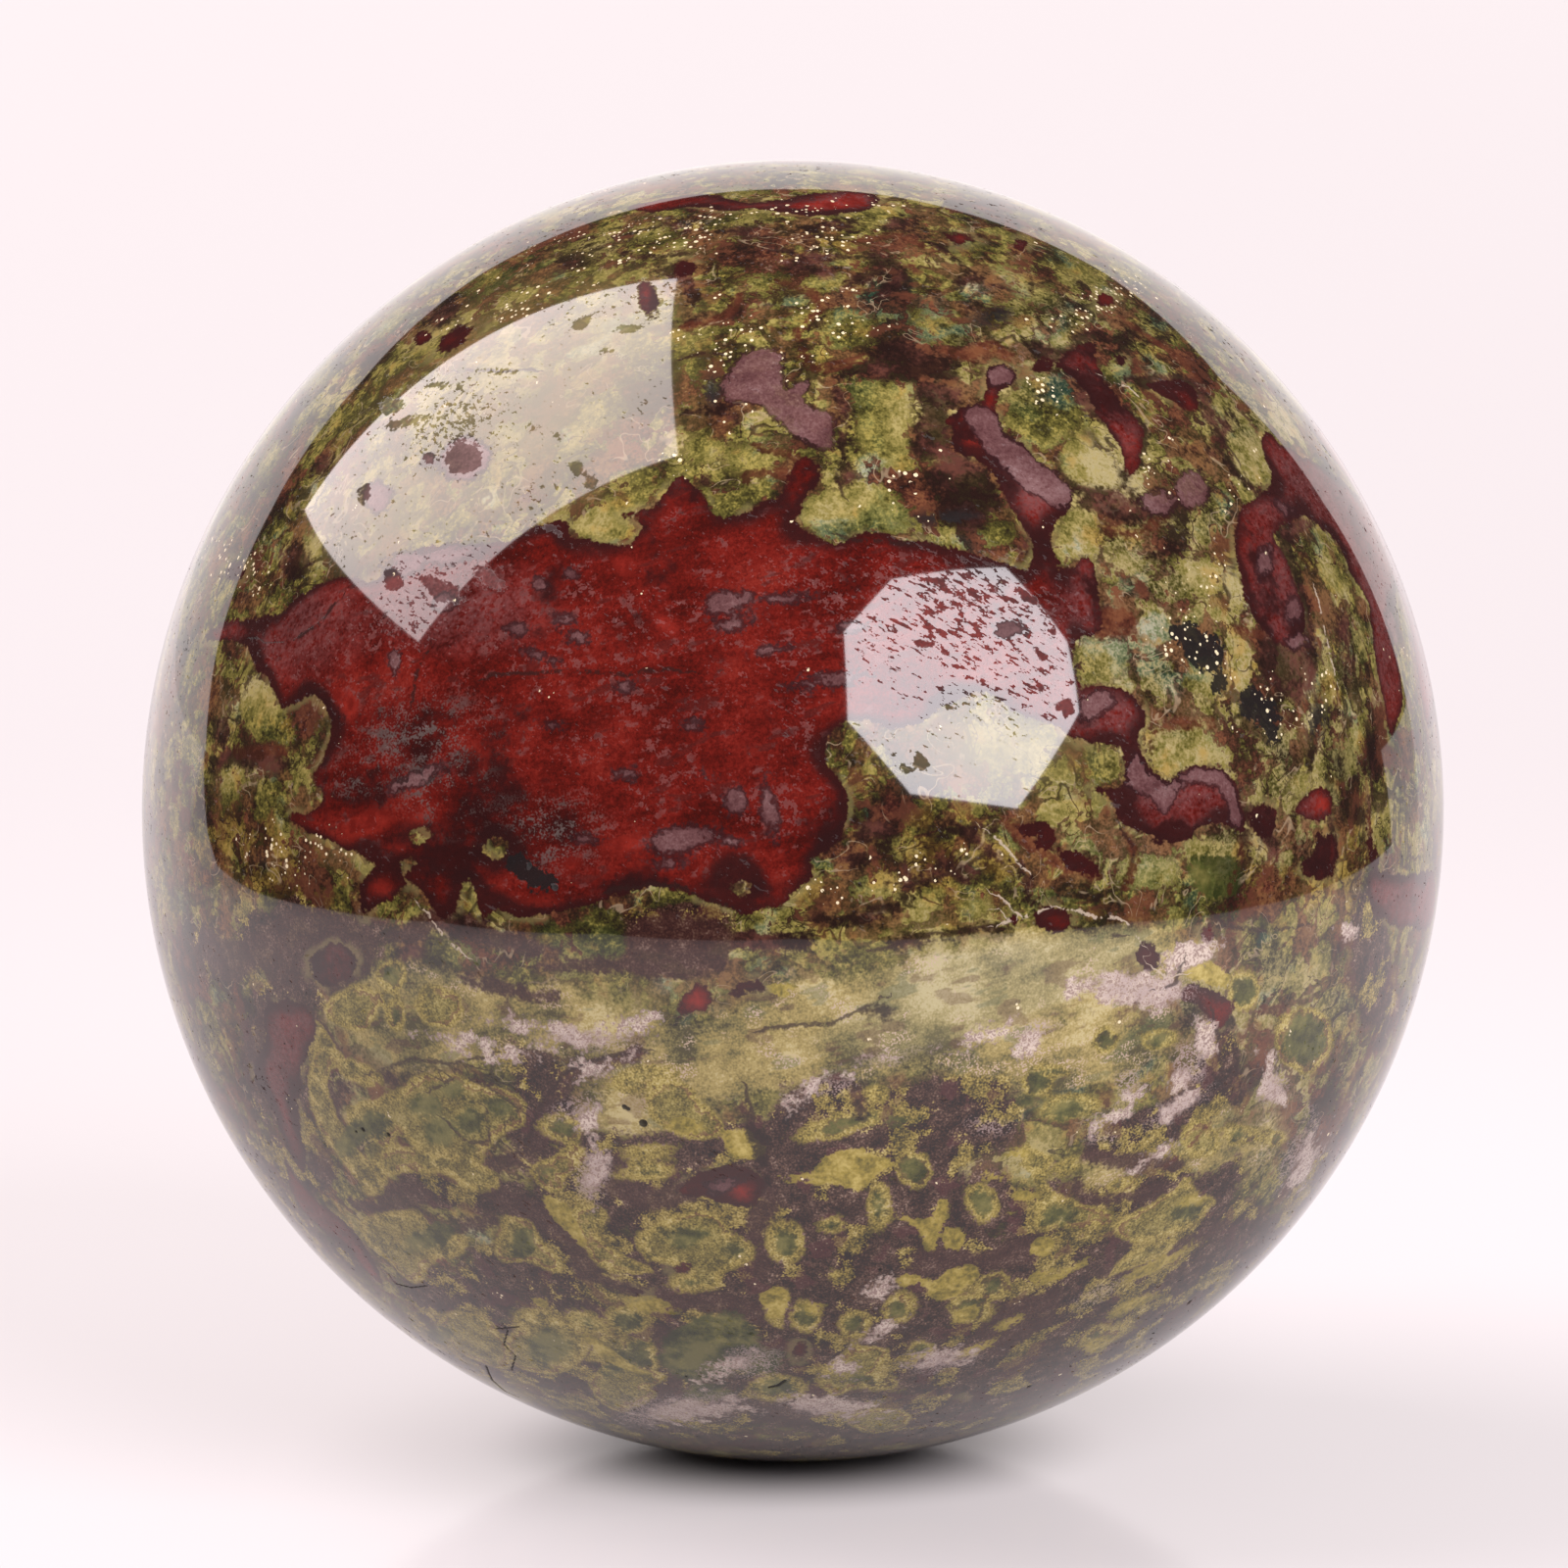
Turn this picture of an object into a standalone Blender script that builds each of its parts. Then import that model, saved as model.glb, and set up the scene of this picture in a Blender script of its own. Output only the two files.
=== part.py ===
"""A polished dragon blood jasper sphere, one solid stone, resting on a small ground flat.

Frame: metres, +Z up. The origin is the centre of the resting flat, on the surface that the stone stands on.
"""

import math

import bmesh
import bpy

# Driving dimensions
SPHERE_DIAMETER = 0.070
FLAT_DIAMETER = 0.007  # the ground spot on which the ball stands without rolling

# How finely the round surface is faceted
SEGMENTS_AROUND = 84
BANDS_UP = 42

# The stone's overall colour and polish, as one plain finish
STONE_COLOUR = (0.135, 0.098, 0.040, 1.0)
STONE_ROUGHNESS = 0.09
STONE_IOR = 1.60

radius = SPHERE_DIAMETER / 2
flat_radius = FLAT_DIAMETER / 2
centre_height = math.sqrt(radius**2 - flat_radius**2)


def clear_scene():
    """Removes every object that Blender starts with."""
    for obj in list(bpy.data.objects):
        bpy.data.objects.remove(obj, do_unlink=True)


def meridian():
    """Points of one meridian as (distance from the axis, height), from the flat's edge up to the last band."""
    lowest = math.asin(flat_radius / radius) - math.pi / 2
    step = (math.pi / 2 - lowest) / BANDS_UP
    points = []
    for band in range(BANDS_UP):
        latitude = lowest + band * step
        points.append((radius * math.cos(latitude), centre_height + radius * math.sin(latitude)))
    return points


def ring_of(bm, distance, height):
    """One closed ring of vertices around the vertical axis."""
    ring = []
    for i in range(SEGMENTS_AROUND):
        angle = 2 * math.pi * i / SEGMENTS_AROUND
        ring.append(bm.verts.new((distance * math.cos(angle), distance * math.sin(angle), height)))
    return ring


def join_rings(bm, lower, upper):
    """A band of four-sided faces between two rings."""
    for i in range(SEGMENTS_AROUND):
        following = (i + 1) % SEGMENTS_AROUND
        bm.faces.new((lower[i], lower[following], upper[following], upper[i]))


def stone_mesh():
    """The turned ball: a flat disc below, bands of faces up the sides and a fan at the top."""
    bm = bmesh.new()
    rings = [ring_of(bm, distance, height) for distance, height in meridian()]
    for lower, upper in zip(rings, rings[1:]):
        join_rings(bm, lower, upper)
    bm.faces.new(list(reversed(rings[0])))
    top = bm.verts.new((0.0, 0.0, centre_height + radius))
    for i in range(SEGMENTS_AROUND):
        bm.faces.new((rings[-1][i], rings[-1][(i + 1) % SEGMENTS_AROUND], top))
    bmesh.ops.recalc_face_normals(bm, faces=bm.faces)
    mesh = bpy.data.meshes.new("jasper_sphere")
    bm.to_mesh(mesh)
    bm.free()
    mesh.shade_smooth()
    mesh.set_sharp_from_angle(angle=math.radians(12))
    return mesh


def stone_material():
    """Polished mottled stone, green and blood red, as one even colour."""
    material = bpy.data.materials.new("polished_jasper")
    material.use_nodes = True
    surface = material.node_tree.nodes["Principled BSDF"]
    surface.inputs["Base Color"].default_value = STONE_COLOUR
    surface.inputs["Roughness"].default_value = STONE_ROUGHNESS
    surface.inputs["Metallic"].default_value = 0.0
    surface.inputs["IOR"].default_value = STONE_IOR
    return material


def build_stone():
    """The one piece of the part."""
    mesh = stone_mesh()
    mesh.materials.append(stone_material())
    stone = bpy.data.objects.new("jasper_sphere", mesh)
    bpy.context.scene.collection.objects.link(stone)
    return stone


clear_scene()
build_stone()
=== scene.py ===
# %% [markdown]
# # A polished dragon blood jasper sphere
# The real thing is one lump of stone, ground round and polished until it mirrors the studio. Its shape is
# simple and its looks are not: the whole likeness is in the pattern of the stone, the polish, and what the
# polish reflects. So this lesson spends few lines on the ball and many on its pattern. Everything is in
# metres, with +Z up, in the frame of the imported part.

import math

import bmesh
import bpy
import numpy as np
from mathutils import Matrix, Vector, noise


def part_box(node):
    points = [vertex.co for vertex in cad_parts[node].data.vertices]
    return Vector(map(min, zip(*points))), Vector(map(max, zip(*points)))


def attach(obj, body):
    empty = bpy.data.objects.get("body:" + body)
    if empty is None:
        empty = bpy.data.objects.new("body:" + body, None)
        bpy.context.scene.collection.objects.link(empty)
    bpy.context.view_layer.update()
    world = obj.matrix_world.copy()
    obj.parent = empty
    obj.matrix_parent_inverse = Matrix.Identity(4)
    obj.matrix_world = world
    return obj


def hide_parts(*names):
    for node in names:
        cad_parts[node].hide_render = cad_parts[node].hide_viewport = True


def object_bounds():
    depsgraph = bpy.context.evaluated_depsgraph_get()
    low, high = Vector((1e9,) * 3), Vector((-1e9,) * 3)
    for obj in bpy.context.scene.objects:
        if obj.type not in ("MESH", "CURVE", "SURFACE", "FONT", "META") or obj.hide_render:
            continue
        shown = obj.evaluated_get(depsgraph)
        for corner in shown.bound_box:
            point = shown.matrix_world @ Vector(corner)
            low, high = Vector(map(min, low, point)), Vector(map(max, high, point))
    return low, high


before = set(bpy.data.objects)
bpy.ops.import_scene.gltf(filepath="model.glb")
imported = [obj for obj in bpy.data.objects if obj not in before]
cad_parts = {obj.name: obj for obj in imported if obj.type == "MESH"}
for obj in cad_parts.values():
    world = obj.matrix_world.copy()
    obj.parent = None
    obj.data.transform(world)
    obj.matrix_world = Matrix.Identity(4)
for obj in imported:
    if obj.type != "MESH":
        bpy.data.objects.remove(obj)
cad_low, cad_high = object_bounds()
cad_low, cad_high = list(cad_low), list(cad_high)
scene = bpy.context.scene
print("CAD box", cad_low, cad_high)

# %% [markdown]
# ## The ball's measures
# All of the scene hangs on the ball's radius and centre. The diameter is given as 70 mm, and the imported
# node's top less one radius gives the centre's height.

# %% Radius and centre of the ball
low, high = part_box("jasper_sphere")
BALL_DIAMETER = 0.070
RADIUS = BALL_DIAMETER / 2
CENTRE = Vector((0.0, 0.0, high.z - RADIUS))
FLAT_RADIUS = math.sqrt(RADIUS**2 - CENTRE.z**2)
MM = 0.001
print(f"radius {RADIUS / MM:.1f} mm, centre {CENTRE.z / MM:.2f} mm up")
print(f"flat {2 * FLAT_RADIUS / MM:.1f} mm across")

# %% [markdown]
# ## The camera
# The photo is taken from about 11 degrees above the table, from far enough away that the outline is a true
# circle. A long lens at 1.4 m does the same here. The lens follows from how large the ball stands in the
# picture, and the camera aims a little beside the ball, so that the ball sits where the photo has it.

# %% Camera
PHOTO_SIZE = 1600
BALL_X, BALL_Y, BALL_PIXELS = 808.9, 827.2, 664.4  # the outline's centre and radius in the photo
VIEW_ELEVATION = math.radians(10.8)
VIEW_DISTANCE = 40 * RADIUS
SENSOR = 36.0

to_camera = Vector((0.0, -math.cos(VIEW_ELEVATION), math.sin(VIEW_ELEVATION)))
camera_place = CENTRE + VIEW_DISTANCE * to_camera
pixels_per_slope = BALL_PIXELS / (RADIUS / math.sqrt(VIEW_DISTANCE**2 - RADIUS**2))
picture_right = Vector((1.0, 0.0, 0.0))
picture_up = picture_right.cross(-to_camera).normalized()
aim = CENTRE.copy()
aim -= picture_right * ((BALL_X - PHOTO_SIZE / 2) / pixels_per_slope * VIEW_DISTANCE)
aim += picture_up * ((BALL_Y - PHOTO_SIZE / 2) / pixels_per_slope * VIEW_DISTANCE)

camera_data = bpy.data.cameras.new("photo_camera")
camera_data.sensor_width = SENSOR
camera_data.lens = pixels_per_slope * SENSOR / PHOTO_SIZE
camera_data.clip_start = 0.05
camera_data.clip_end = 50
camera = bpy.data.objects.new("photo_camera", camera_data)
camera.location = camera_place
camera.rotation_euler = (aim - camera_place).to_track_quat("-Z", "Y").to_euler()
scene.collection.objects.link(camera)
scene.camera = camera
bpy.context.view_layer.update()
print(f"lens {camera_data.lens:.1f} mm at {VIEW_DISTANCE:.2f} m")

# %% [markdown]
# ## From a photo point to the ball
# A line of sight through a point of the photo meets the ball in one place. This pair of helpers goes from
# the photo to the ball and back. It places the markings later, and before that the lights: a polished ball
# mirrors each lamp where the line of sight, thrown back by the surface, goes to the lamp.

# %% From a photo point to a place on the ball
look = np.array((aim - camera_place).normalized())
right = np.cross(look, (0.0, 0.0, 1.0))
right /= np.linalg.norm(right)
up = np.cross(right, look)
eye = (np.array(camera_place) - np.array(CENTRE)) / RADIUS


def on_ball(points):
    """Directions from the ball's centre to where lines of sight through photo points meet it."""
    xy = np.asarray(points, float).reshape(-1, 2)
    rays = look * pixels_per_slope
    rays = rays + right * (xy[:, :1] - PHOTO_SIZE / 2) - up * (xy[:, 1:] - PHOTO_SIZE / 2)
    rays /= np.linalg.norm(rays, axis=1)[:, None]
    along = rays @ eye
    under_root = np.maximum(along**2 - (eye @ eye - 1), 0)
    hits = eye + rays * (-along - np.sqrt(under_root))[:, None]
    return hits / np.linalg.norm(hits, axis=1)[:, None]


def in_photo(directions):
    """Photo points of places on the ball, and how squarely each faces the camera."""
    sight = directions - eye
    depth = sight @ look
    x = PHOTO_SIZE / 2 + pixels_per_slope * (sight @ right) / depth
    y = PHOTO_SIZE / 2 - pixels_per_slope * (sight @ up) / depth
    facing = directions @ (eye / np.linalg.norm(eye))
    return x, y, facing


print("centre of the picture's ball:", np.round(on_ball([(BALL_X, BALL_Y)])[0], 3))


# %% [markdown]
# ## Colour handling and light paths
# The photo is a plain studio shot whose whites are nearly burnt out. Blender's Standard view keeps colours as
# they are set, so a colour read from the photo can be used in a material without being bent by a film look.
# The stone is opaque and nearly alone, so three bounces of light are enough, and fewer bounces render faster.

# %% Plain view transform and short light paths
scene.view_settings.view_transform = "Standard"
scene.view_settings.look = "None"
scene.cycles.max_bounces = 3
scene.cycles.diffuse_bounces = 2
scene.cycles.glossy_bounces = 3
scene.cycles.caustics_reflective = False
scene.cycles.caustics_refractive = False

# %% [markdown]
# ## Lights as real panels
# A polished ball mirrors its lamps, so their shape matters as much as their strength. The photo shows two
# of them in the polish: an octagonal softbox to the right of the camera and a square one high on the left.
# Each is built as a glowing mesh of that outline, out of the camera's sight. Each corner is placed by the
# photo point where the ball mirrors it.

# %% Glowing panel helper
def glow(name, colour, strength):
    """A material that only gives off light."""
    material = bpy.data.materials.new(name)
    material.use_nodes = True
    nodes = material.node_tree.nodes
    nodes.clear()
    emission = nodes.new("ShaderNodeEmission")
    emission.inputs["Color"].default_value = (*colour, 1)
    emission.inputs["Strength"].default_value = strength
    output = nodes.new("ShaderNodeOutputMaterial")
    material.node_tree.links.new(emission.outputs[0], output.inputs["Surface"])
    return material


def flat_sheet(name, corners, material):
    """A flat stage surface."""
    mesh = bpy.data.meshes.new(name)
    mesh.from_pydata([tuple(c) for c in corners], [], [list(range(len(corners)))])
    mesh.materials.append(material)
    sheet = bpy.data.objects.new(name, mesh)
    scene.collection.objects.link(sheet)
    return sheet


def stage_panel(name, corners, material):
    """A flat panel of the studio. It lights and is mirrored, but the camera doesn't see it directly."""
    panel = flat_sheet(name, corners, material)
    panel.visible_camera = False
    panel.visible_shadow = False
    return panel


# %% Where the polish sends a line of sight
def thrown_back(points, plane_point, plane_normal):
    """Places on a plane that the ball mirrors at the given photo points."""
    outward = on_ball(points)
    hits = outward * RADIUS + np.array(CENTRE)
    sight = hits - np.array(camera_place)
    sight /= np.linalg.norm(sight, axis=1)[:, None]
    back = sight - 2 * (sight * outward).sum(1)[:, None] * outward
    normal = np.array(plane_normal)
    reach = (np.array(plane_point) - hits) @ normal / (back @ normal)
    return [Vector(p) for p in hits + back * reach[:, None]]


# %% The octagonal softbox
OCTAGON_CORNERS = [
    (910, 591), (1026, 579), (1089, 655), (1101, 727), (1038, 825), (929, 810), (865, 736), (861, 645),
]
OCTAGON_DIRECTION = Vector((0.488, -0.719, 0.494)).normalized()
OCTAGON_DISTANCE = 1.0
OCTAGON_COLOUR = (1.0, 0.955, 1.0)
OCTAGON_STRENGTH = 9.7

octagon = thrown_back(OCTAGON_CORNERS, CENTRE + OCTAGON_DISTANCE * OCTAGON_DIRECTION, OCTAGON_DIRECTION)
stage_panel("octagon_softbox", octagon, glow("octagon_glow", OCTAGON_COLOUR, OCTAGON_STRENGTH))
print(f"octagon {(octagon[0] - octagon[4]).length:.2f} m across")

# %% The square softbox, high on the left
SQUARE_CORNERS = [(691, 284), (692, 465), (427, 655), (311, 520)]
SQUARE_DIRECTION = Vector((-0.55, 0.21, 0.70)).normalized()
SQUARE_DISTANCE = 1.1
SQUARE_COLOUR = (1.0, 0.89, 0.90)
SQUARE_STRENGTH = 5.9

square = thrown_back(SQUARE_CORNERS, CENTRE + SQUARE_DISTANCE * SQUARE_DIRECTION, SQUARE_DIRECTION)
stage_panel("square_softbox", square, glow("square_glow", SQUARE_COLOUR, SQUARE_STRENGTH))
print(f"square {(square[0] - square[1]).length:.2f} by {(square[1] - square[2]).length:.2f} m")

# %% [markdown]
# ## The white backdrop
# Behind the ball stands a white sweep. The camera can't see it, but the ball's rim mirrors it: that is the
# pale haze all round the edge in the photo. Its upper edge is uneven, and the haze follows it.

# %% Backdrop panel
BACKDROP_DISTANCE = 0.62
BACKDROP_EDGE = [
    (1422, 663), (1351, 514), (1247, 389), (1126, 278), (973, 214), (809, 193), (645, 214), (492, 279),
    (370, 388), (277, 520), (220, 670), (213, 720), (210, 768),
]
BACKDROP_GLOW = (0.97, 0.89, 0.885)
BACKDROP_STRENGTH = 1.34
backdrop = thrown_back(BACKDROP_EDGE, CENTRE + Vector((0, BACKDROP_DISTANCE, 0)), (0, 1, 0))
feet = [Vector((end.x, BACKDROP_DISTANCE, 0.0)) for end in (backdrop[0], backdrop[-1])]
backdrop = [feet[0], *backdrop, feet[1]]
backdrop_finish = glow("backdrop_glow", BACKDROP_GLOW, BACKDROP_STRENGTH)
backdrop_finish.cycles.emission_sampling = "NONE"
stage_panel("backdrop", backdrop, backdrop_finish)
print(f"backdrop from {backdrop[0].x:.2f} to {backdrop[-1].x:.2f} m, top at {backdrop[6].z:.2f} m")

# %% [markdown]
# ## The table
# The ball stands on a smooth white table. It stays bright even under the ball's overhang, where nearly no
# lamp reaches, so it must be translucent and lit from below, as product tables are. Close around the contact
# its glow is cut away, a painted shadow of the ball, and far off it is a little less bright. To the left and
# right, outside the picture, it is brighter, which the haze at the ball's sides shows. It mirrors the ball
# faintly. It ends about 0.2 m in front of the ball, and its glow softens towards that edge: below the edge's
# reflection the stone has a faint haze, and above it the stone mirrors the dark room. The edge is found by
# throwing photo points of the haze's upper limit back off the ball, as for the lamps.

# %% Table
TABLE_EDGE = [  # photo points of the haze's upper limit on the stone, where the table's near edge is mirrored
    (212, 850), (222, 884), (260, 910), (330, 927), (450, 941), (620, 953), (809, 958), (1000, 953),
    (1150, 941), (1280, 925), (1370, 897), (1420, 862),
]
TABLE_BACK = BACKDROP_DISTANCE
TABLE_HALF_WIDTH = 0.80
TABLE_COLOUR = (0.31, 0.295, 0.305)
TABLE_SHINE = (1.0, 0.915, 0.925)
TABLE_SHINE_STRENGTH = 0.42
# Each of these is two distances in metres, and the shine's share at the first and at the second.
# painted shadow of the ball: the table's glow is cut away where the ball touches
PAINTED_CONTACT_SHADOW = (0.006, 0.018, 0.0, 1.0)  # dark where the ball touches
FAR_WANE = (0.06, 0.22, 1.0, 0.76)  # a little less bright far off
EDGE_FADE = (0.160, 0.204, 1.0, 0.15)  # softer towards the near edge, an arc in front of the ball
BEHIND = (0.02, 0.11, 0.0, 1.0)  # no such fade behind the ball
SIDE_GAIN = (0.062, 0.115, 1.0, 1.9)  # brighter to the left and right, outside the picture


def table_finish():
    """Smooth white acrylic, lit from below."""
    material = bpy.data.materials.new("lit_table")
    material.use_nodes = True
    sheet = material.node_tree.nodes["Principled BSDF"]
    sheet.inputs["Base Color"].default_value = (*TABLE_COLOUR, 1)
    sheet.inputs["Roughness"].default_value = 0.10
    sheet.inputs["IOR"].default_value = 1.08
    sheet.inputs["Emission Color"].default_value = (*TABLE_SHINE, 1)
    nodes, links = material.node_tree.nodes, material.node_tree.links
    place = nodes.new("ShaderNodeTexCoord")
    from_contact = nodes.new("ShaderNodeVectorMath")
    from_contact.operation = "LENGTH"
    links.new(place.outputs["Object"], from_contact.inputs[0])
    parts = nodes.new("ShaderNodeSeparateXYZ")
    links.new(place.outputs["Object"], parts.inputs[0])
    aside = nodes.new("ShaderNodeMath")
    aside.operation = "ABSOLUTE"
    links.new(parts.outputs["X"], aside.inputs[0])

    def share_of(measure, limits):
        """A smooth change of share between two distances."""
        share = nodes.new("ShaderNodeMapRange")
        share.interpolation_type = "SMOOTHSTEP"
        for name, value in zip(("From Min", "From Max", "To Min", "To Max"), limits):
            share.inputs[name].default_value = value
        links.new(measure, share.inputs["Value"])
        return share.outputs[0]

    edge = nodes.new("ShaderNodeMath")
    edge.operation = "MAXIMUM"
    links.new(share_of(from_contact.outputs["Value"], EDGE_FADE), edge.inputs[0])
    links.new(share_of(parts.outputs["Y"], BEHIND), edge.inputs[1])
    shares = [
        # the first share is the painted contact shadow
        share_of(from_contact.outputs["Value"], PAINTED_CONTACT_SHADOW),
        share_of(from_contact.outputs["Value"], FAR_WANE),
        share_of(aside.outputs["Value"], SIDE_GAIN),
        edge.outputs[0],
    ]
    strength = TABLE_SHINE_STRENGTH
    for share in shares:
        product = nodes.new("ShaderNodeMath")
        product.operation = "MULTIPLY"
        links.new(share, product.inputs[0])
        if isinstance(strength, float):
            product.inputs[1].default_value = strength
        else:
            links.new(strength, product.inputs[1])
        strength = product.outputs[0]
    links.new(strength, sheet.inputs["Emission Strength"])
    return material


near_edge = thrown_back(TABLE_EDGE, Vector((0, 0, 0)), (0, 0, 1))
print("the table's near edge:", [(round(p.x, 2), round(p.y, 2)) for p in near_edge])
table_corners = [(p.x, p.y, 0.0) for p in near_edge]
table_corners += [(TABLE_HALF_WIDTH, TABLE_BACK, 0.0), (-TABLE_HALF_WIDTH, TABLE_BACK, 0.0)]
table = flat_sheet("table", table_corners, table_finish())
table.active_material.cycles.emission_sampling = "NONE"

# %% [markdown]
# ## The room
# From other sides the camera looks past the table, so a pale floor goes on around it. It is kept out of the
# polish, because the real room in front of the table is dark. The world has three faces: pale for the
# camera, an even fill for matte surfaces, as white studio walls give, and a nearly dark room for the polish
# to mirror.

# %% Floor beyond the table
FLOOR_REACH = 12.0
FLOOR_DROP = 0.0005
floor_corners = [
    (-FLOOR_REACH, -FLOOR_REACH, -FLOOR_DROP), (FLOOR_REACH, -FLOOR_REACH, -FLOOR_DROP),
    (FLOOR_REACH, FLOOR_REACH, -FLOOR_DROP), (-FLOOR_REACH, FLOOR_REACH, -FLOOR_DROP),
]
floor_finish = glow("floor_glow", BACKDROP_GLOW, 0.97)
floor_finish.cycles.emission_sampling = "NONE"
floor = flat_sheet("floor", floor_corners, floor_finish)
floor.visible_glossy = False
floor.visible_diffuse = False
floor.visible_shadow = False

# %% One world with three faces
ROOM_GLOW = (0.045, 0.04, 0.04)
FILL_GLOW = (0.50, 0.46, 0.46)
world = bpy.data.worlds.new("studio")
world.use_nodes = True
world.cycles.sampling_method = "NONE"
scene.world = world
world_nodes = world.node_tree.nodes
world_nodes.clear()
light_path = world_nodes.new("ShaderNodeLightPath")


def sky(colour):
    """One plain world colour."""
    step = world_nodes.new("ShaderNodeBackground")
    step.inputs["Color"].default_value = (*colour, 1)
    return step.outputs[0]


def by_ray(kind, otherwise, chosen):
    """One sky for a kind of ray and another for the rest."""
    step = world_nodes.new("ShaderNodeMixShader")
    world.node_tree.links.new(light_path.outputs[kind], step.inputs["Fac"])
    world.node_tree.links.new(otherwise, step.inputs[1])
    world.node_tree.links.new(chosen, step.inputs[2])
    return step.outputs[0]


lit = by_ray("Is Diffuse Ray", sky(ROOM_GLOW), sky(FILL_GLOW))
lit = by_ray("Is Camera Ray", lit, sky(BACKDROP_GLOW))
world_output = world_nodes.new("ShaderNodeOutputWorld")
world.node_tree.links.new(lit, world_output.inputs["Surface"])

# %% [markdown]
# ## The ball's mesh
# A ball could be a turned profile, an icosphere or an inflated cube. The turned one crowds its faces at the
# poles, and a pattern painted on its vertices would be coarse at the sides. An inflated cube keeps its
# faces nearly equal: each cube coordinate goes through a tangent, so the faces near the cube's corners
# don't shrink. With 120 faces along each cube edge, one vertex stands for about half a millimetre of stone.

# %% Inflate a cube into a ball
FACES_PER_EDGE = 120
bm = bmesh.new()
bmesh.ops.create_cube(bm, size=2.0)
bmesh.ops.subdivide_edges(bm, edges=bm.edges[:], cuts=FACES_PER_EDGE - 1, use_grid_fill=True)
for vertex in bm.verts:
    spread = [math.tan(c * math.pi / 4) for c in vertex.co]
    vertex.co = Vector(spread).normalized()
print(len(bm.verts), "vertices on the ball")

# %% [markdown]
# ## Reading the pattern off the photo
# The patches on the front follow the photo. Each is a short outline of photo points, read with a grid laid
# over the picture, as a lapidary would sketch a stone. A line of sight through each photo point meets the
# ball in one place, and that place is where the mark belongs. This is only a way of drawing: an outline
# brings no colour with it.
#
# ## Distance to an outline
# A patch painted vertex by vertex would have stairs along its edge. Instead each vertex stores its distance
# to the outline in millimetres, below zero inside. Between vertices that number changes evenly, so the
# shader can draw a crisp edge at zero, a rim just inside it and a halo just outside it. The stone around
# each outline is first flattened by the stereographic map, which keeps round shapes round.

# %% Smooth outlines and distances to them
REACH_MM = 4.0
RADIUS_MM = RADIUS / MM


def smooth_loop(points, steps=4):
    """More points along a closed outline, on a curve through the given ones."""
    here = np.asarray(points, float)
    before, after, beyond = np.roll(here, 1, 0), np.roll(here, -1, 0), np.roll(here, -2, 0)
    pieces = []
    for t in np.arange(steps) / steps:
        bend = (2 * before - 5 * here + 4 * after - beyond) * t**2
        twist = (3 * here - before - 3 * after + beyond) * t**3
        pieces.append(here + 0.5 * ((after - before) * t + bend + twist))
    return np.stack(pieces, 1).reshape(-1, 2)


def flatten(directions, middle):
    """Stereographic map around a middle direction, in ball radii, with its local enlargement."""
    east = np.cross(middle, (0.0, 0.0, 1.0))
    east /= np.linalg.norm(east)
    north = np.cross(east, middle)
    enlargement = 2 / (1 + directions @ middle)
    flat = np.stack([directions @ east, directions @ north], 1) * enlargement[:, None]
    return flat, enlargement


def to_segments(spots, starts, ends):
    """Distance of each spot to the nearest segment, with that segment's side (+1 left, -1 right)."""
    nearest = np.full(len(spots), 1e9)
    side = np.ones(len(spots))
    for start, end in zip(starts, ends):
        edge = end - start
        gap = spots - start
        share = np.clip((gap @ edge) / max(edge @ edge, 1e-12), 0, 1)
        away = np.linalg.norm(gap - share[:, None] * edge, axis=1)
        closer = away < nearest
        cross = edge[0] * gap[:, 1] - edge[1] * gap[:, 0]
        nearest = np.where(closer, away, nearest)
        side = np.where(closer, np.where(cross >= 0, 1.0, -1.0), side)
    return nearest, side


def is_inside(spots, starts, ends):
    """Whether each spot lies inside the closed loop, by counting crossings."""
    odd = np.zeros(len(spots), bool)
    for start, end in zip(starts, ends):
        if start[1] == end[1]:
            continue
        spans = (start[1] > spots[:, 1]) != (end[1] > spots[:, 1])
        reach = start[0] + (spots[:, 1] - start[1]) * (end[0] - start[0]) / (end[1] - start[1])
        odd ^= spans & (spots[:, 0] < reach)
    return odd


def near_cap(directions, loop):
    """The middle of some places, and which directions lie within reach of them."""
    middle = loop.mean(0)
    middle /= np.linalg.norm(middle)
    widest = math.acos(np.clip((loop @ middle).min(), -1, 1)) + 1.1 * REACH_MM / RADIUS_MM
    return middle, np.flatnonzero(directions @ middle > math.cos(widest))


def outline_mm(directions, points):
    """Distance in mm to a closed outline of photo points, below zero inside."""
    loop = on_ball(smooth_loop(points))
    middle, near = near_cap(directions, loop)
    flat_loop, _ = flatten(loop, middle)
    spots, enlargement = flatten(directions[near], middle)
    starts, ends = flat_loop, np.roll(flat_loop, -1, 0)
    away, _ = to_segments(spots, starts, ends)
    away *= np.where(is_inside(spots, starts, ends), -1, 1) * RADIUS_MM / enlargement
    result = np.full(len(directions), REACH_MM)
    result[near] = np.clip(away, -REACH_MM, REACH_MM)
    return result


def line_mm(directions, points):
    """Distance in mm to an open line of photo points, and the same with the line's side as its sign."""
    line = on_ball(points)
    middle, near = near_cap(directions, line)
    flat_line, _ = flatten(line, middle)
    spots, enlargement = flatten(directions[near], middle)
    away, side = to_segments(spots, flat_line[:-1], flat_line[1:])
    away *= RADIUS_MM / enlargement
    result = np.full(len(directions), REACH_MM)
    result[near] = np.minimum(away, REACH_MM)
    sided = np.full(len(directions), REACH_MM)
    sided[near] = np.clip(away * side, -REACH_MM, REACH_MM)
    return result, sided


# %% [markdown]
# ## Pits and cracks
# Polishing closes most of the surface but not all of it. The photo shows one open crack at the left, a few
# short ones at the lower left edge and some pinholes. They are real hollows, so they are cut into the mesh.
# The half-millimetre faces are too coarse for that, so the faces around each hollow are divided twice
# before it is pressed in.

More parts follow.
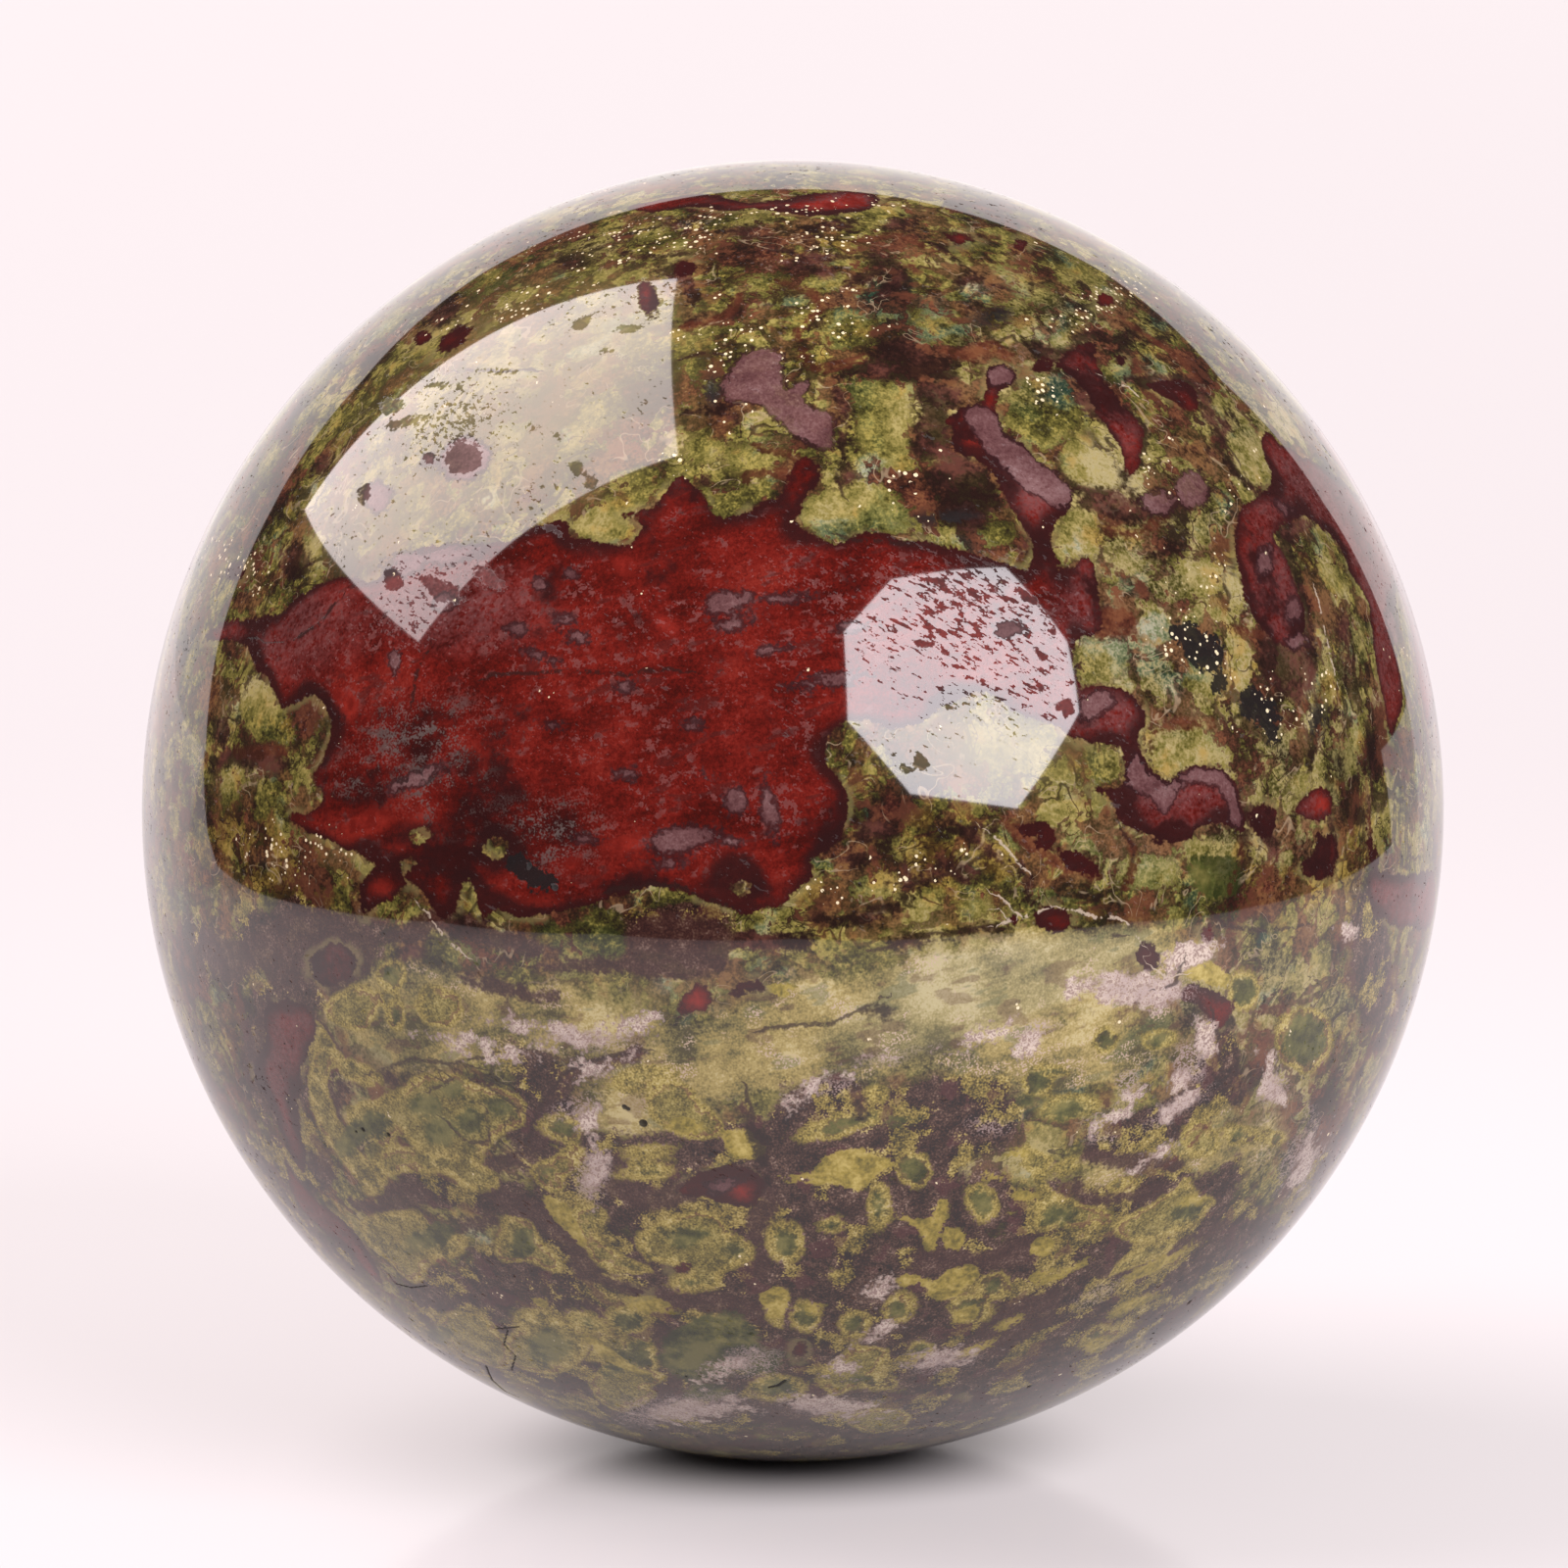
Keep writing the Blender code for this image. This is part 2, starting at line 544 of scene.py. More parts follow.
# %% Where the hollows are
CRACKS = {  # photo points along each crack, half width and depth in mm
    "left crack": ([(252, 651), (264, 651), (270, 656), (290, 655)], 0.045, 0.05),
    "left hairline": ([(300, 652), (318, 640), (332, 628)], 0.035, 0.03),
    "low rim crack": ([(512, 1350), (518, 1358), (514, 1372), (526, 1384), (522, 1398)], 0.06, 0.07),
    "low rim hairline": ([(506, 1356), (530, 1354)], 0.05, 0.05),
    "lowest crack": ([(496, 1394), (502, 1408), (516, 1420), (530, 1426)], 0.07, 0.07),
    "lower left crack": ([(396, 1300), (404, 1310), (420, 1314), (436, 1312)], 0.05, 0.06),
    "slit in the oval": ([(785, 1416), (794, 1414), (801, 1409)], 0.11, 0.08),
}
PINHOLES = [  # photo x and y, radius in mm, depth in mm
    (656, 1147, 0.24, 0.20), (637, 1130, 0.16, 0.12), (641, 1132, 0.12, 0.10), (370, 1153, 0.15, 0.10),
    (396, 1158, 0.14, 0.10), (363, 1155, 0.10, 0.08), (1214, 1329, 0.16, 0.12), (290, 1065, 0.07, 0.06),
    (289, 1100, 0.07, 0.06), (294, 1125, 0.07, 0.06), (291, 1085, 0.06, 0.05), (1050, 1415, 0.12, 0.10),
    (898, 1296, 0.12, 0.08), (700, 1405, 0.10, 0.08), (540, 883, 0.16, 0.10), (566, 906, 0.18, 0.12),
]
HOLLOW_MARGIN_MM = 0.55


def hollows(directions):
    """How far each place lies outside the nearest hollow in mm, and how deep it is pressed in, in mm."""
    outside = np.full(len(directions), REACH_MM)
    depth = np.zeros(len(directions))
    for points, half_width, deepest in CRACKS.values():
        away, _ = line_mm(directions, points)
        outside = np.minimum(outside, away - half_width)
        depth = np.maximum(depth, deepest * np.clip(1.25 - away / half_width, 0, 1))
    for x, y, size, deepest in PINHOLES:
        away = np.arccos(np.clip(directions @ on_ball([(x, y)])[0], -1, 1)) * RADIUS_MM
        outside = np.minimum(outside, away - size)
        depth = np.maximum(depth, deepest * np.clip(1.3 - away / size, 0, 1) ** 0.6)
    return outside, depth


# %% Divide the faces around each hollow, then press the hollows in
def ball_directions():
    """The direction of every vertex of the mesh in the making."""
    return np.array([v.co.normalized() for v in bm.verts])


for division in range(2):
    outside, _ = hollows(ball_directions())
    bm.verts.ensure_lookup_table()
    close = set(np.flatnonzero(outside < HOLLOW_MARGIN_MM).tolist())
    bm.verts.index_update()
    edges = [e for e in bm.edges if e.verts[0].index in close and e.verts[1].index in close]
    bmesh.ops.subdivide_edges(bm, edges=edges, cuts=1, use_grid_fill=True)
    for vertex in bm.verts:
        vertex.co.normalize()
bmesh.ops.triangulate(bm, faces=[f for f in bm.faces if len(f.verts) > 4])
spots_on_ball = ball_directions()
hollow_mm, hollow_depth = hollows(spots_on_ball)
for vertex, direction, pressed in zip(bm.verts, spots_on_ball, hollow_depth):
    vertex.co = CENTRE + Vector(direction) * (RADIUS - pressed * MM)
    vertex.co.z = max(vertex.co.z, 0.0)
print(len(bm.verts), "vertices,", int((hollow_depth > 0).sum()), "of them in hollows")

# %% Make the piece
stone_mesh = bpy.data.meshes.new("polished_sphere")
bm.to_mesh(stone_mesh)
bm.free()
stone_mesh.shade_smooth()
outward = np.array([tuple(n.vector) for n in stone_mesh.vertex_normals])
polished = (hollow_mm > 0.02) & (spots_on_ball[:, 2] * RADIUS > FLAT_RADIUS / 2 - CENTRE.z)
outward[polished] = spots_on_ball[polished]
stone_mesh.normals_split_custom_set_from_vertices(outward.tolist())
polished_sphere = bpy.data.objects.new("polished_sphere", stone_mesh)
scene.collection.objects.link(polished_sphere)
print(len(stone_mesh.polygons), "faces")

# %% [markdown]
# ## The stone's wavering edges
# Nothing in this stone has a ruled edge. Before any distance is measured, each vertex is looked up a little
# beside its true place, by a noise that changes over a millimetre or two. So every outline below waves
# without more points. Blender seeds its vector noise from the clock, so the seed is set here, and the stone
# comes out the same in each run.

# %% Wavering lookup
WAVER_SEED = 1
noise.seed_set(WAVER_SEED)


def noise_field(directions, size_mm, octaves, seed):
    """Fractal noise over the ball, about -1 to 1, whose largest blobs are size_mm across."""
    shift = Vector((seed * 17.3, seed * 5.1, seed * 9.7))
    places = directions * (RADIUS_MM / size_mm)
    return np.array([noise.fractal(Vector(p) + shift, 0.9, 2.1, octaves) for p in places.tolist()])


def wander(directions, size_mm, amount_mm, seed):
    """The same directions, each moved a little by noise."""
    shift = Vector((seed * 11.9, seed * 3.7, seed * 7.3))
    places = directions * (RADIUS_MM / size_mm)
    moves = np.array([noise.noise_vector(Vector(p) + shift) for p in places.tolist()])
    moved = directions + moves * (amount_mm / RADIUS_MM)
    return moved / np.linalg.norm(moved, axis=1)[:, None]


wavering = wander(wander(spots_on_ball, 2.6, 0.22, 1), 1.1, 0.12, 2)
photo_x, photo_y, facing = in_photo(wavering)
seen = np.clip((facing - 0.05) / 0.17, 0, 1)
print("front share of the ball:", round(float((seen > 0.5).mean()), 2))


def soft_spot(x, y, half_width, half_height, tilt=0.0, softness=0.6):
    """A soft oval on the front, 1 in the middle and 0 outside, tilted in degrees as the photo shows it."""
    turn = math.radians(tilt)
    across = (photo_x - x) * math.cos(turn) - (photo_y - y) * math.sin(turn)
    upward = (photo_x - x) * math.sin(turn) + (photo_y - y) * math.cos(turn)
    far = np.sqrt((across / half_width) ** 2 + (upward / half_height) ** 2)
    return np.clip((1 + softness - far) / (2 * softness), 0, 1) * (facing > 0)


PIXELS_PER_MM = BALL_PIXELS / RADIUS_MM


def oval_mm(x, y, half_width, half_height, tilt=0.0):
    """Distance in mm to a small oval on the front."""
    turn = math.radians(tilt)
    across = (photo_x - x) * math.cos(turn) - (photo_y - y) * math.sin(turn)
    upward = (photo_x - x) * math.sin(turn) + (photo_y - y) * math.cos(turn)
    far = np.sqrt((across / half_width) ** 2 + (upward / half_height) ** 2)
    away = (far - 1) * min(half_width, half_height) / PIXELS_PER_MM
    return np.where(facing > 0.05, np.clip(away, -REACH_MM, REACH_MM), REACH_MM)


def nearest_of(outlines=(), ovals=()):
    """Distance in mm to the nearest of several marks."""
    result = np.full(len(wavering), REACH_MM)
    for points in outlines:
        result = np.minimum(result, outline_mm(wavering, points))
    for oval in ovals:
        result = np.minimum(result, oval_mm(*oval))
    return result


def spots_together(spots):
    """Several soft ovals as one share from 0 to 1."""
    result = np.zeros(len(wavering))
    for spot in spots:
        result = np.maximum(result, soft_spot(*spot))
    return result


# %% [markdown]
# ## The red patches
# The stone is named for these: iron-red jasper in an olive-green rock. One big patch fills the middle left,
# with fingers and islands of the same red above it, to its right and at the rim.

# %% Outlines of the red
RED_OUTLINES = {
    "main patch": [
        (205, 652), (232, 632), (262, 633), (290, 622), (315, 602), (347, 588), (378, 592), (405, 570),
        (440, 557), (482, 556), (520, 552), (546, 537), (575, 531), (583, 546), (607, 554), (625, 555),
        (645, 553), (655, 540), (648, 530), (633, 524), (650, 520), (665, 517), (674, 504), (690, 490),
        (698, 487), (712, 498), (722, 508), (724, 519), (733, 529), (745, 528), (758, 524), (768, 515),
        (780, 508), (795, 510), (803, 500), (806, 480), (820, 468), (838, 480), (826, 504), (819, 520),
        (815, 536), (829, 546), (848, 553), (864, 550), (880, 543), (906, 546), (928, 551), (960, 556),
        (986, 562), (1009, 569), (1031, 575), (1047, 582), (1055, 565), (1052, 550), (1071, 559),
        (1077, 579), (1086, 588), (1095, 577), (1105, 569), (1115, 573), (1120, 590), (1124, 639),
        (1111, 646), (1098, 650), (1094, 672), (1100, 704), (1104, 748), (1082, 742), (1060, 735),
        (1030, 722), (1010, 702), (985, 708), (960, 722), (935, 738), (905, 742), (870, 735), (848, 746),
        (840, 770), (850, 788), (863, 805), (865, 830), (858, 855), (832, 876), (828, 895), (815, 905),
        (797, 921), (778, 928), (762, 932), (745, 928), (723, 921), (707, 913), (691, 908), (669, 906),
        (639, 912), (613, 921), (585, 929), (559, 934), (535, 935), (505, 928), (490, 935), (480, 905),
        (470, 903), (460, 935), (445, 932), (430, 910), (415, 900), (400, 915), (385, 925), (370, 937),
        (367, 918), (373, 895), (383, 882), (345, 865), (328, 857), (299, 840), (300, 831), (318, 828),
        (330, 808), (318, 792), (328, 778), (339, 745), (336, 732), (320, 710), (303, 715), (286, 722),
        (278, 700), (264, 684), (257, 671), (245, 656),
    ],
    "finger": [
        (1003, 381), (1011, 371), (1025, 373), (1035, 381), (1032, 392), (1020, 399), (1017, 411),
        (1018, 422), (1025, 441), (1045, 453), (1055, 466), (1069, 478), (1081, 481), (1085, 492),
        (1096, 510), (1090, 520), (1078, 531), (1071, 545), (1073, 559), (1067, 576), (1055, 559),
        (1048, 545), (1038, 531), (1029, 517), (1017, 495), (1008, 478), (992, 467), (978, 464), (969, 457),
        (971, 439), (964, 429), (975, 418), (989, 413), (1003, 410), (1006, 397),
    ],
    "upper right finger": [
        (1080, 366), (1104, 352), (1115, 345), (1118, 366), (1125, 387), (1136, 401), (1146, 415),
        (1162, 432), (1166, 446), (1160, 481), (1153, 488), (1146, 467), (1136, 446), (1122, 425),
        (1108, 404), (1094, 387),
    ],
    "red lens": [
        (1173, 390), (1192, 387), (1210, 390), (1222, 401), (1220, 418), (1210, 417), (1195, 408),
        (1178, 399),
    ],
    "right hook": [
        (1287, 446), (1292, 467), (1299, 488), (1295, 499), (1278, 510), (1267, 524), (1260, 548),
        (1262, 580), (1271, 615), (1287, 639), (1304, 657), (1322, 662), (1331, 643), (1329, 615),
        (1320, 587), (1311, 566), (1301, 548), (1308, 538), (1322, 531), (1332, 527), (1346, 538),
        (1360, 548), (1371, 566), (1381, 590), (1395, 615), (1401, 653), (1406, 688), (1413, 716),
        (1418, 755), (1424, 741), (1431, 716), (1427, 681), (1422, 646), (1425, 600), (1417, 560),
        (1400, 530), (1370, 490), (1345, 475), (1320, 460), (1304, 450), (1295, 441),
    ],
    "snake": [
        (1100, 706), (1128, 700), (1150, 706), (1166, 722), (1166, 738), (1161, 751), (1166, 770),
        (1179, 789), (1194, 796), (1207, 784), (1226, 781), (1245, 786), (1260, 799), (1266, 818),
        (1271, 837), (1270, 856), (1263, 847), (1252, 840), (1236, 840), (1223, 847), (1217, 856),
        (1201, 863), (1182, 856), (1159, 848), (1144, 839), (1137, 824), (1128, 812), (1110, 802),
        (1140, 805), (1147, 786), (1140, 767), (1128, 759), (1108, 756), (1100, 751),
    ],
    "diamond": [(1319, 826), (1335, 808), (1351, 800), (1360, 815), (1355, 834), (1338, 837), (1322, 832)],
    "arch": [
        (1198, 1020), (1210, 1008), (1230, 1010), (1250, 1018), (1262, 1022), (1255, 1035), (1240, 1050),
        (1228, 1035), (1215, 1025),
    ],
    "left band": [
        (270, 1032), (295, 1021), (316, 1032), (323, 1053), (309, 1088), (305, 1123), (309, 1158),
        (312, 1196), (302, 1189), (288, 1158), (277, 1130), (260, 1105), (260, 1084), (270, 1060),
    ],
    "lower lens": [
        (695, 1212), (705, 1202), (730, 1193), (751, 1189), (768, 1195), (779, 1203), (777, 1217),
        (767, 1231), (747, 1230), (719, 1221), (702, 1218),
    ],
    "low triangle": [(690, 1036), (703, 1012), (716, 1003), (727, 1012), (724, 1028), (705, 1034)],
    "low wedge": [(744, 1014), (757, 1003), (771, 1000), (780, 1010), (770, 1016)],
    "top band": [
        (640, 212), (668, 205), (700, 200), (735, 200), (760, 207), (795, 204), (820, 198), (860, 195),
        (896, 200), (892, 212), (860, 218), (825, 221), (800, 217), (770, 213), (735, 214), (700, 211),
        (665, 216),
    ],
    "rim streak": [
        (1398, 892), (1420, 890), (1443, 893), (1462, 888), (1464, 925), (1456, 948), (1430, 946),
        (1408, 938), (1396, 918),
    ],
    "rim red": [
        (1372, 500), (1400, 545), (1424, 595), (1440, 645), (1448, 700), (1456, 742), (1463, 735),
        (1462, 700), (1456, 650), (1440, 600), (1418, 555), (1392, 510),
    ],
    "left band tail": [
        (288, 1168), (300, 1198), (325, 1226), (352, 1245), (378, 1280), (392, 1312), (376, 1300),
        (348, 1272), (318, 1245), (298, 1218),
    ],
    "rim line": [
        (1330, 420), (1365, 455), (1400, 500), (1425, 545), (1440, 590), (1432, 588), (1410, 545),
        (1380, 495), (1345, 450),
    ],
    "dark block": [
        (1040, 842), (1052, 838), (1074, 842), (1077, 858), (1066, 872), (1056, 866), (1060, 850),
        (1046, 852),
    ],
    "ochre wedge": [(1078, 868), (1098, 872), (1115, 882), (1121, 893), (1100, 894), (1085, 882)],
}
RED_OVALS = [  # photo x and y, half width, half height, and the tilt in degrees where there is one
    (1076, 937, 18, 15), (1172, 975, 12, 16, 10), (1290, 838, 14, 19), (978, 243, 14, 6), (1126, 306, 9, 7),
    (1033, 941, 10, 4, 10), (1342, 885, 10, 16, 70), (1001, 1425, 11, 5), (693, 1294, 9, 6),
    (650, 1318, 9, 5), (815, 1378, 8, 8), (1231, 952, 7, 13), (1040, 250, 8, 6, 30), (430, 345, 10, 7, 20),
    (465, 345, 22, 9, 35), (240, 582, 12, 9, 50), (340, 985, 24, 20, 10), (1180, 860, 5, 9),
    (1085, 596, 12, 14), (1352, 870, 12, 20), (700, 275, 12, 9), (1142, 366, 6, 5), (661, 303, 9, 20, 25),
    (1064, 372, 12, 7, 20), (1400, 870, 4, 20, 8),
]
GREEN_HOLES = [(506, 864, 13, 11, 20), (428, 852, 11, 8, 0), (754, 905, 11, 8, 0), (416, 884, 9, 6, 30)]
red_mm = nearest_of(RED_OUTLINES.values(), RED_OVALS)
red_mm = np.maximum(red_mm, -nearest_of((), GREEN_HOLES))
print("red share of the front:", round(float((red_mm[seen > 0.9] < 0).mean()), 2))

# %% [markdown]
# ## Mauve, scarlet and nearly black
# Inside the red lie mauve-grey patches, where the jasper has gone chalky, and small scarlet sparks. Round
# it, and in the green, lie seams and blots of a maroon so dark that it is nearly black.

# %% Outlines of the mauve, the scarlet and the dark
MAUVE_OUTLINES = {
    "top mauve": [
        (735, 396), (740, 388), (747, 374), (757, 363), (769, 357), (785, 355), (798, 360), (800, 366),
        (793, 371), (797, 379), (804, 387), (801, 392), (806, 399), (815, 392), (824, 389), (824, 398),
        (820, 411), (828, 418), (844, 419), (848, 428), (846, 440), (850, 452), (849, 462), (836, 457),
        (820, 449), (808, 440), (796, 431), (786, 423), (777, 414), (764, 411), (750, 410), (742, 404),
    ],
    "finger knob": [(1006, 379), (1013, 373), (1025, 374), (1033, 382), (1029, 391), (1012, 393)],
    "finger body": [
        (985, 420), (1002, 413), (1016, 424), (1024, 441), (1043, 455), (1056, 468), (1070, 479),
        (1081, 484), (1087, 495), (1094, 508), (1086, 518), (1068, 512), (1050, 504), (1036, 492),
        (1022, 476), (1008, 460), (995, 440),
    ],
    "snake band": [
        (1160, 770), (1170, 788), (1190, 799), (1208, 788), (1226, 785), (1243, 789), (1256, 801),
        (1263, 820), (1266, 845), (1258, 838), (1250, 815), (1236, 801), (1218, 798), (1204, 803),
        (1196, 820), (1188, 828), (1176, 815), (1160, 806), (1148, 800), (1152, 786),
    ],
    "snake head": [
        (1104, 712), (1125, 706), (1140, 712), (1136, 722), (1118, 730), (1106, 738), (1101, 725),
    ],
}
MAUVE_OVALS = [
    (1180, 513, 17, 12), (1215, 500, 16, 19, 20), (742, 615, 22, 10, 15), (750, 637, 14, 6, 10),
    (850, 694, 30, 5, 6), (750, 817, 11, 12), (787, 825, 7, 24, 10), (692, 857, 32, 11, 12),
    (745, 857, 12, 6), (474, 468, 26, 22, 30), (1290, 575, 7, 14, -15), (1318, 622, 7, 12),
    (1310, 520, 9, 5, -20), (552, 596, 9, 5, -15), (583, 585, 7, 5), (590, 650, 8, 5), (402, 677, 6, 9),
    (575, 632, 9, 5), (528, 641, 8, 5), (553, 668, 12, 4, -20), (455, 613, 9, 8), (1030, 641, 16, 8, 5),
    (430, 795, 30, 7, 25), (415, 575, 20, 10, 10), (460, 566, 26, 8, 8), (640, 700, 8, 4),
    (705, 742, 9, 4, 15), (720, 790, 6, 4), (640, 790, 8, 4, 10), (560, 740, 7, 3), (680, 880, 12, 4, 10),
    (600, 855, 10, 4), (790, 660, 14, 4, 10), (800, 610, 16, 3, 8), (870, 640, 12, 3, 5),
    (1325, 655, 10, 6), (1422, 640, 5, 16, 10), (384, 507, 15, 15), (437, 472, 6, 5),
    (735, 1210, 14, 5, 15),
]
SCARLET_OVALS = [
    (995, 458, 13, 8, -20), (988, 454, 6, 6), (1105, 441, 16, 8, -15), (680, 636, 14, 9, -35),
    (1013, 409, 6, 8), (372, 843, 26, 13, 15), (425, 838, 7, 20, -45), (1350, 820, 8, 9),
    (845, 208, 42, 6, 5), (638, 578, 9, 8), (605, 562, 5, 5), (352, 718, 12, 17), (640, 862, 22, 8, 10),
    (735, 915, 26, 7, -8), (545, 922, 30, 5), (975, 243, 9, 4), (1126, 306, 6, 4), (585, 882, 12, 6, 40),
    (1118, 372, 6, 6), (1033, 941, 7, 3, 10), (765, 1005, 8, 4, 10), (1002, 1425, 6, 3), (225, 650, 9, 5),
    (640, 547, 3, 3), (410, 862, 14, 7, 30), (390, 905, 12, 8, -40), (738, 1212, 38, 14, -10),
    (1078, 937, 14, 10), (1172, 975, 9, 12, 10), (712, 1022, 12, 10),
]
DARK_OUTLINES = {
    "fin": [
        (863, 376), (880, 368), (895, 358), (909, 345), (930, 350), (951, 364), (981, 385), (968, 389),
        (937, 384), (909, 386), (881, 383), (850, 385),
    ],
    "left of the finger": [
        (938, 388), (962, 392), (985, 398), (978, 412), (966, 425), (966, 440), (968, 458), (985, 468),
        (1005, 480), (1016, 500), (1024, 520), (1008, 520), (985, 512), (962, 505), (945, 490), (955, 470),
        (934, 465), (932, 440), (942, 420), (936, 400),
    ],
    "brown bay": [(962, 512), (982, 500), (1003, 502), (1010, 518), (1000, 534), (975, 538), (958, 526)],
    "upper link": [
        (1040, 345), (1062, 352), (1082, 356), (1104, 346), (1112, 352), (1095, 366), (1075, 372),
        (1052, 362),
    ],
    "right of the knob": [
        (1100, 390), (1120, 398), (1140, 412), (1164, 430), (1172, 448), (1162, 476), (1150, 470),
        (1140, 446), (1118, 428), (1100, 410),
    ],
    "brown under top": [
        (1096, 505), (1125, 506), (1160, 514), (1200, 524), (1180, 532), (1140, 528), (1100, 518),
    ],
    "softbox hook": [(658, 276), (690, 270), (707, 280), (713, 300), (704, 314), (697, 294), (682, 284)],
    "brown swirl": [(800, 268), (820, 262), (838, 268), (852, 280), (842, 288), (826, 280), (808, 278)],
    "tail vein": [
        (852, 392), (860, 396), (866, 420), (864, 466), (873, 480), (868, 494), (852, 497), (856, 470),
        (856, 425),
    ],
    "hook shadow": [
        (1302, 541), (1330, 528), (1345, 536), (1322, 545), (1318, 560), (1330, 590), (1338, 625),
        (1340, 650), (1330, 655), (1322, 610), (1310, 575),
    ],
    "under the hook": [(1280, 640), (1310, 660), (1340, 655), (1344, 690), (1320, 712), (1290, 690)],
    "big brown sweep": [
        (1146, 384), (1180, 382), (1212, 384), (1234, 400), (1240, 425), (1228, 430), (1222, 408),
        (1200, 400), (1170, 396),
    ],
    "left shadow": [(215, 770), (250, 763), (295, 772), (290, 786), (250, 780), (218, 784)],
    "purple shard": [(878, 1032), (900, 1028), (922, 1034), (905, 1040), (888, 1040)],
    "long shard": [
        (905, 960), (930, 955), (965, 951), (1005, 944), (1036, 938), (1040, 942), (1010, 951), (975, 958),
        (945, 965), (915, 967),
    ],
}
DARK_OVALS = [
    (303, 571, 18, 20), (945, 375, 30, 12, 15), (1215, 395, 12, 9, 30), (1270, 862, 5, 22),
    (885, 280, 22, 8, 25), (895, 268, 14, 6, 10), (748, 320, 9, 8), (712, 327, 12, 5), (722, 487, 5, 5),
    (832, 330, 12, 6, 30), (1137, 630, 15, 9), (1058, 290, 9, 5, 20), (990, 286, 14, 6, 10),
    (1388, 832, 8, 10), (915, 228, 18, 6, 10), (845, 232, 26, 5, 8), (760, 236, 20, 5),
    (590, 262, 20, 8, 20), (450, 318, 22, 14, 40), (375, 375, 16, 8, 50), (225, 745, 10, 14),
    (330, 470, 12, 8, 55), (1102, 590, 10, 10), (1400, 905, 6, 18), (1370, 640, 6, 24, 8),
    (540, 890, 32, 14, -25), (745, 905, 18, 9), (500, 700, 26, 14), (605, 742, 14, 8, 30), (590, 725, 8, 5),
    (772, 740, 9, 6, 45), (420, 655, 10, 4, -45), (1150, 345, 18, 8, 30), (1185, 345, 14, 6, 35),
    (1245, 445, 6, 26, -30), (1260, 1100, 6, 24), (1190, 560, 22, 6, 10), (1012, 868, 22, 6, -45),
    (950, 896, 30, 5, 18), (880, 875, 26, 6, 8), (918, 898, 24, 4, 12), (985, 845, 26, 5, 5),
    (895, 850, 24, 9), (465, 945, 26, 10, -25), (420, 972, 18, 8),
]

# %% [markdown]
# ## Green cells and brown seams
# In the olive rock some cells stand out, each with a dark edge. The seams between them are lines of uneven
# width: near-black maroon ones and rust-brown ones. A line is drawn as a row of photo points and a half
# width.

# %% Outlines of the cells, and the seams
CELL_OUTLINES = {
    "right of the knob": [
        (1022, 404), (1034, 398), (1050, 385), (1066, 380), (1085, 386), (1092, 400), (1100, 415),
        (1102, 428), (1090, 440), (1080, 452), (1068, 462), (1052, 455), (1035, 444), (1026, 430),
        (1030, 415),
    ],
    "below it": [
        (1083, 453), (1100, 453), (1120, 456), (1134, 465), (1142, 480), (1147, 490), (1130, 500),
        (1105, 500), (1090, 490), (1080, 475),
    ],
    "left big cell": [
        (868, 388), (900, 387), (934, 392), (932, 410), (932, 440), (928, 460), (938, 478), (915, 482),
        (895, 470), (880, 455), (872, 430), (870, 405),
    ],
    "left lobe": [
        (583, 545), (585, 528), (600, 518), (625, 508), (650, 500), (680, 488), (668, 505), (650, 520),
        (640, 528), (655, 535), (652, 548), (625, 554), (600, 552),
    ],
    "middle lobe": [
        (720, 500), (735, 500), (755, 495), (775, 487), (795, 490), (790, 505), (770, 515), (752, 526),
        (735, 529), (724, 518),
    ],
    "right lobe": [
        (822, 520), (832, 505), (850, 498), (880, 490), (905, 500), (925, 520), (945, 540), (915, 545),
        (885, 545), (860, 552), (835, 545), (818, 532),
    ],
    "under the finger": [
        (1078, 545), (1085, 528), (1100, 515), (1115, 512), (1124, 525), (1120, 545), (1128, 560),
        (1112, 566), (1095, 570), (1080, 580), (1070, 565),
    ],
    "beside the hook": [
        (1240, 400), (1252, 405), (1270, 425), (1285, 445), (1293, 470), (1298, 492), (1280, 496),
        (1262, 480), (1250, 455), (1240, 430),
    ],
    "beside the octagon": [
        (1102, 655), (1120, 650), (1145, 655), (1150, 680), (1140, 695), (1115, 700), (1100, 690),
    ],
    "in the snake's bend": [
        (1162, 752), (1175, 740), (1200, 738), (1230, 745), (1250, 765), (1255, 780), (1225, 782),
        (1195, 792), (1175, 780),
    ],
    "under the snake's head": [
        (1105, 760), (1125, 762), (1142, 770), (1143, 795), (1120, 800), (1105, 795),
    ],
    "left edge cell": [
        (262, 690), (278, 702), (290, 725), (302, 745), (292, 762), (268, 758), (250, 745), (246, 715),
    ],
    "lower left cell": [(598, 935), (622, 925), (640, 950), (636, 972), (618, 982), (590, 978), (582, 958)],
    "top green": [(855, 222), (885, 210), (920, 212), (930, 222), (905, 232), (880, 236)],
    "upper centre": [(820, 285), (850, 278), (868, 282), (858, 295), (835, 300), (815, 296)],
    "upper centre low": [
        (835, 320), (870, 315), (890, 330), (885, 345), (860, 358), (838, 352), (828, 338),
    ],
}
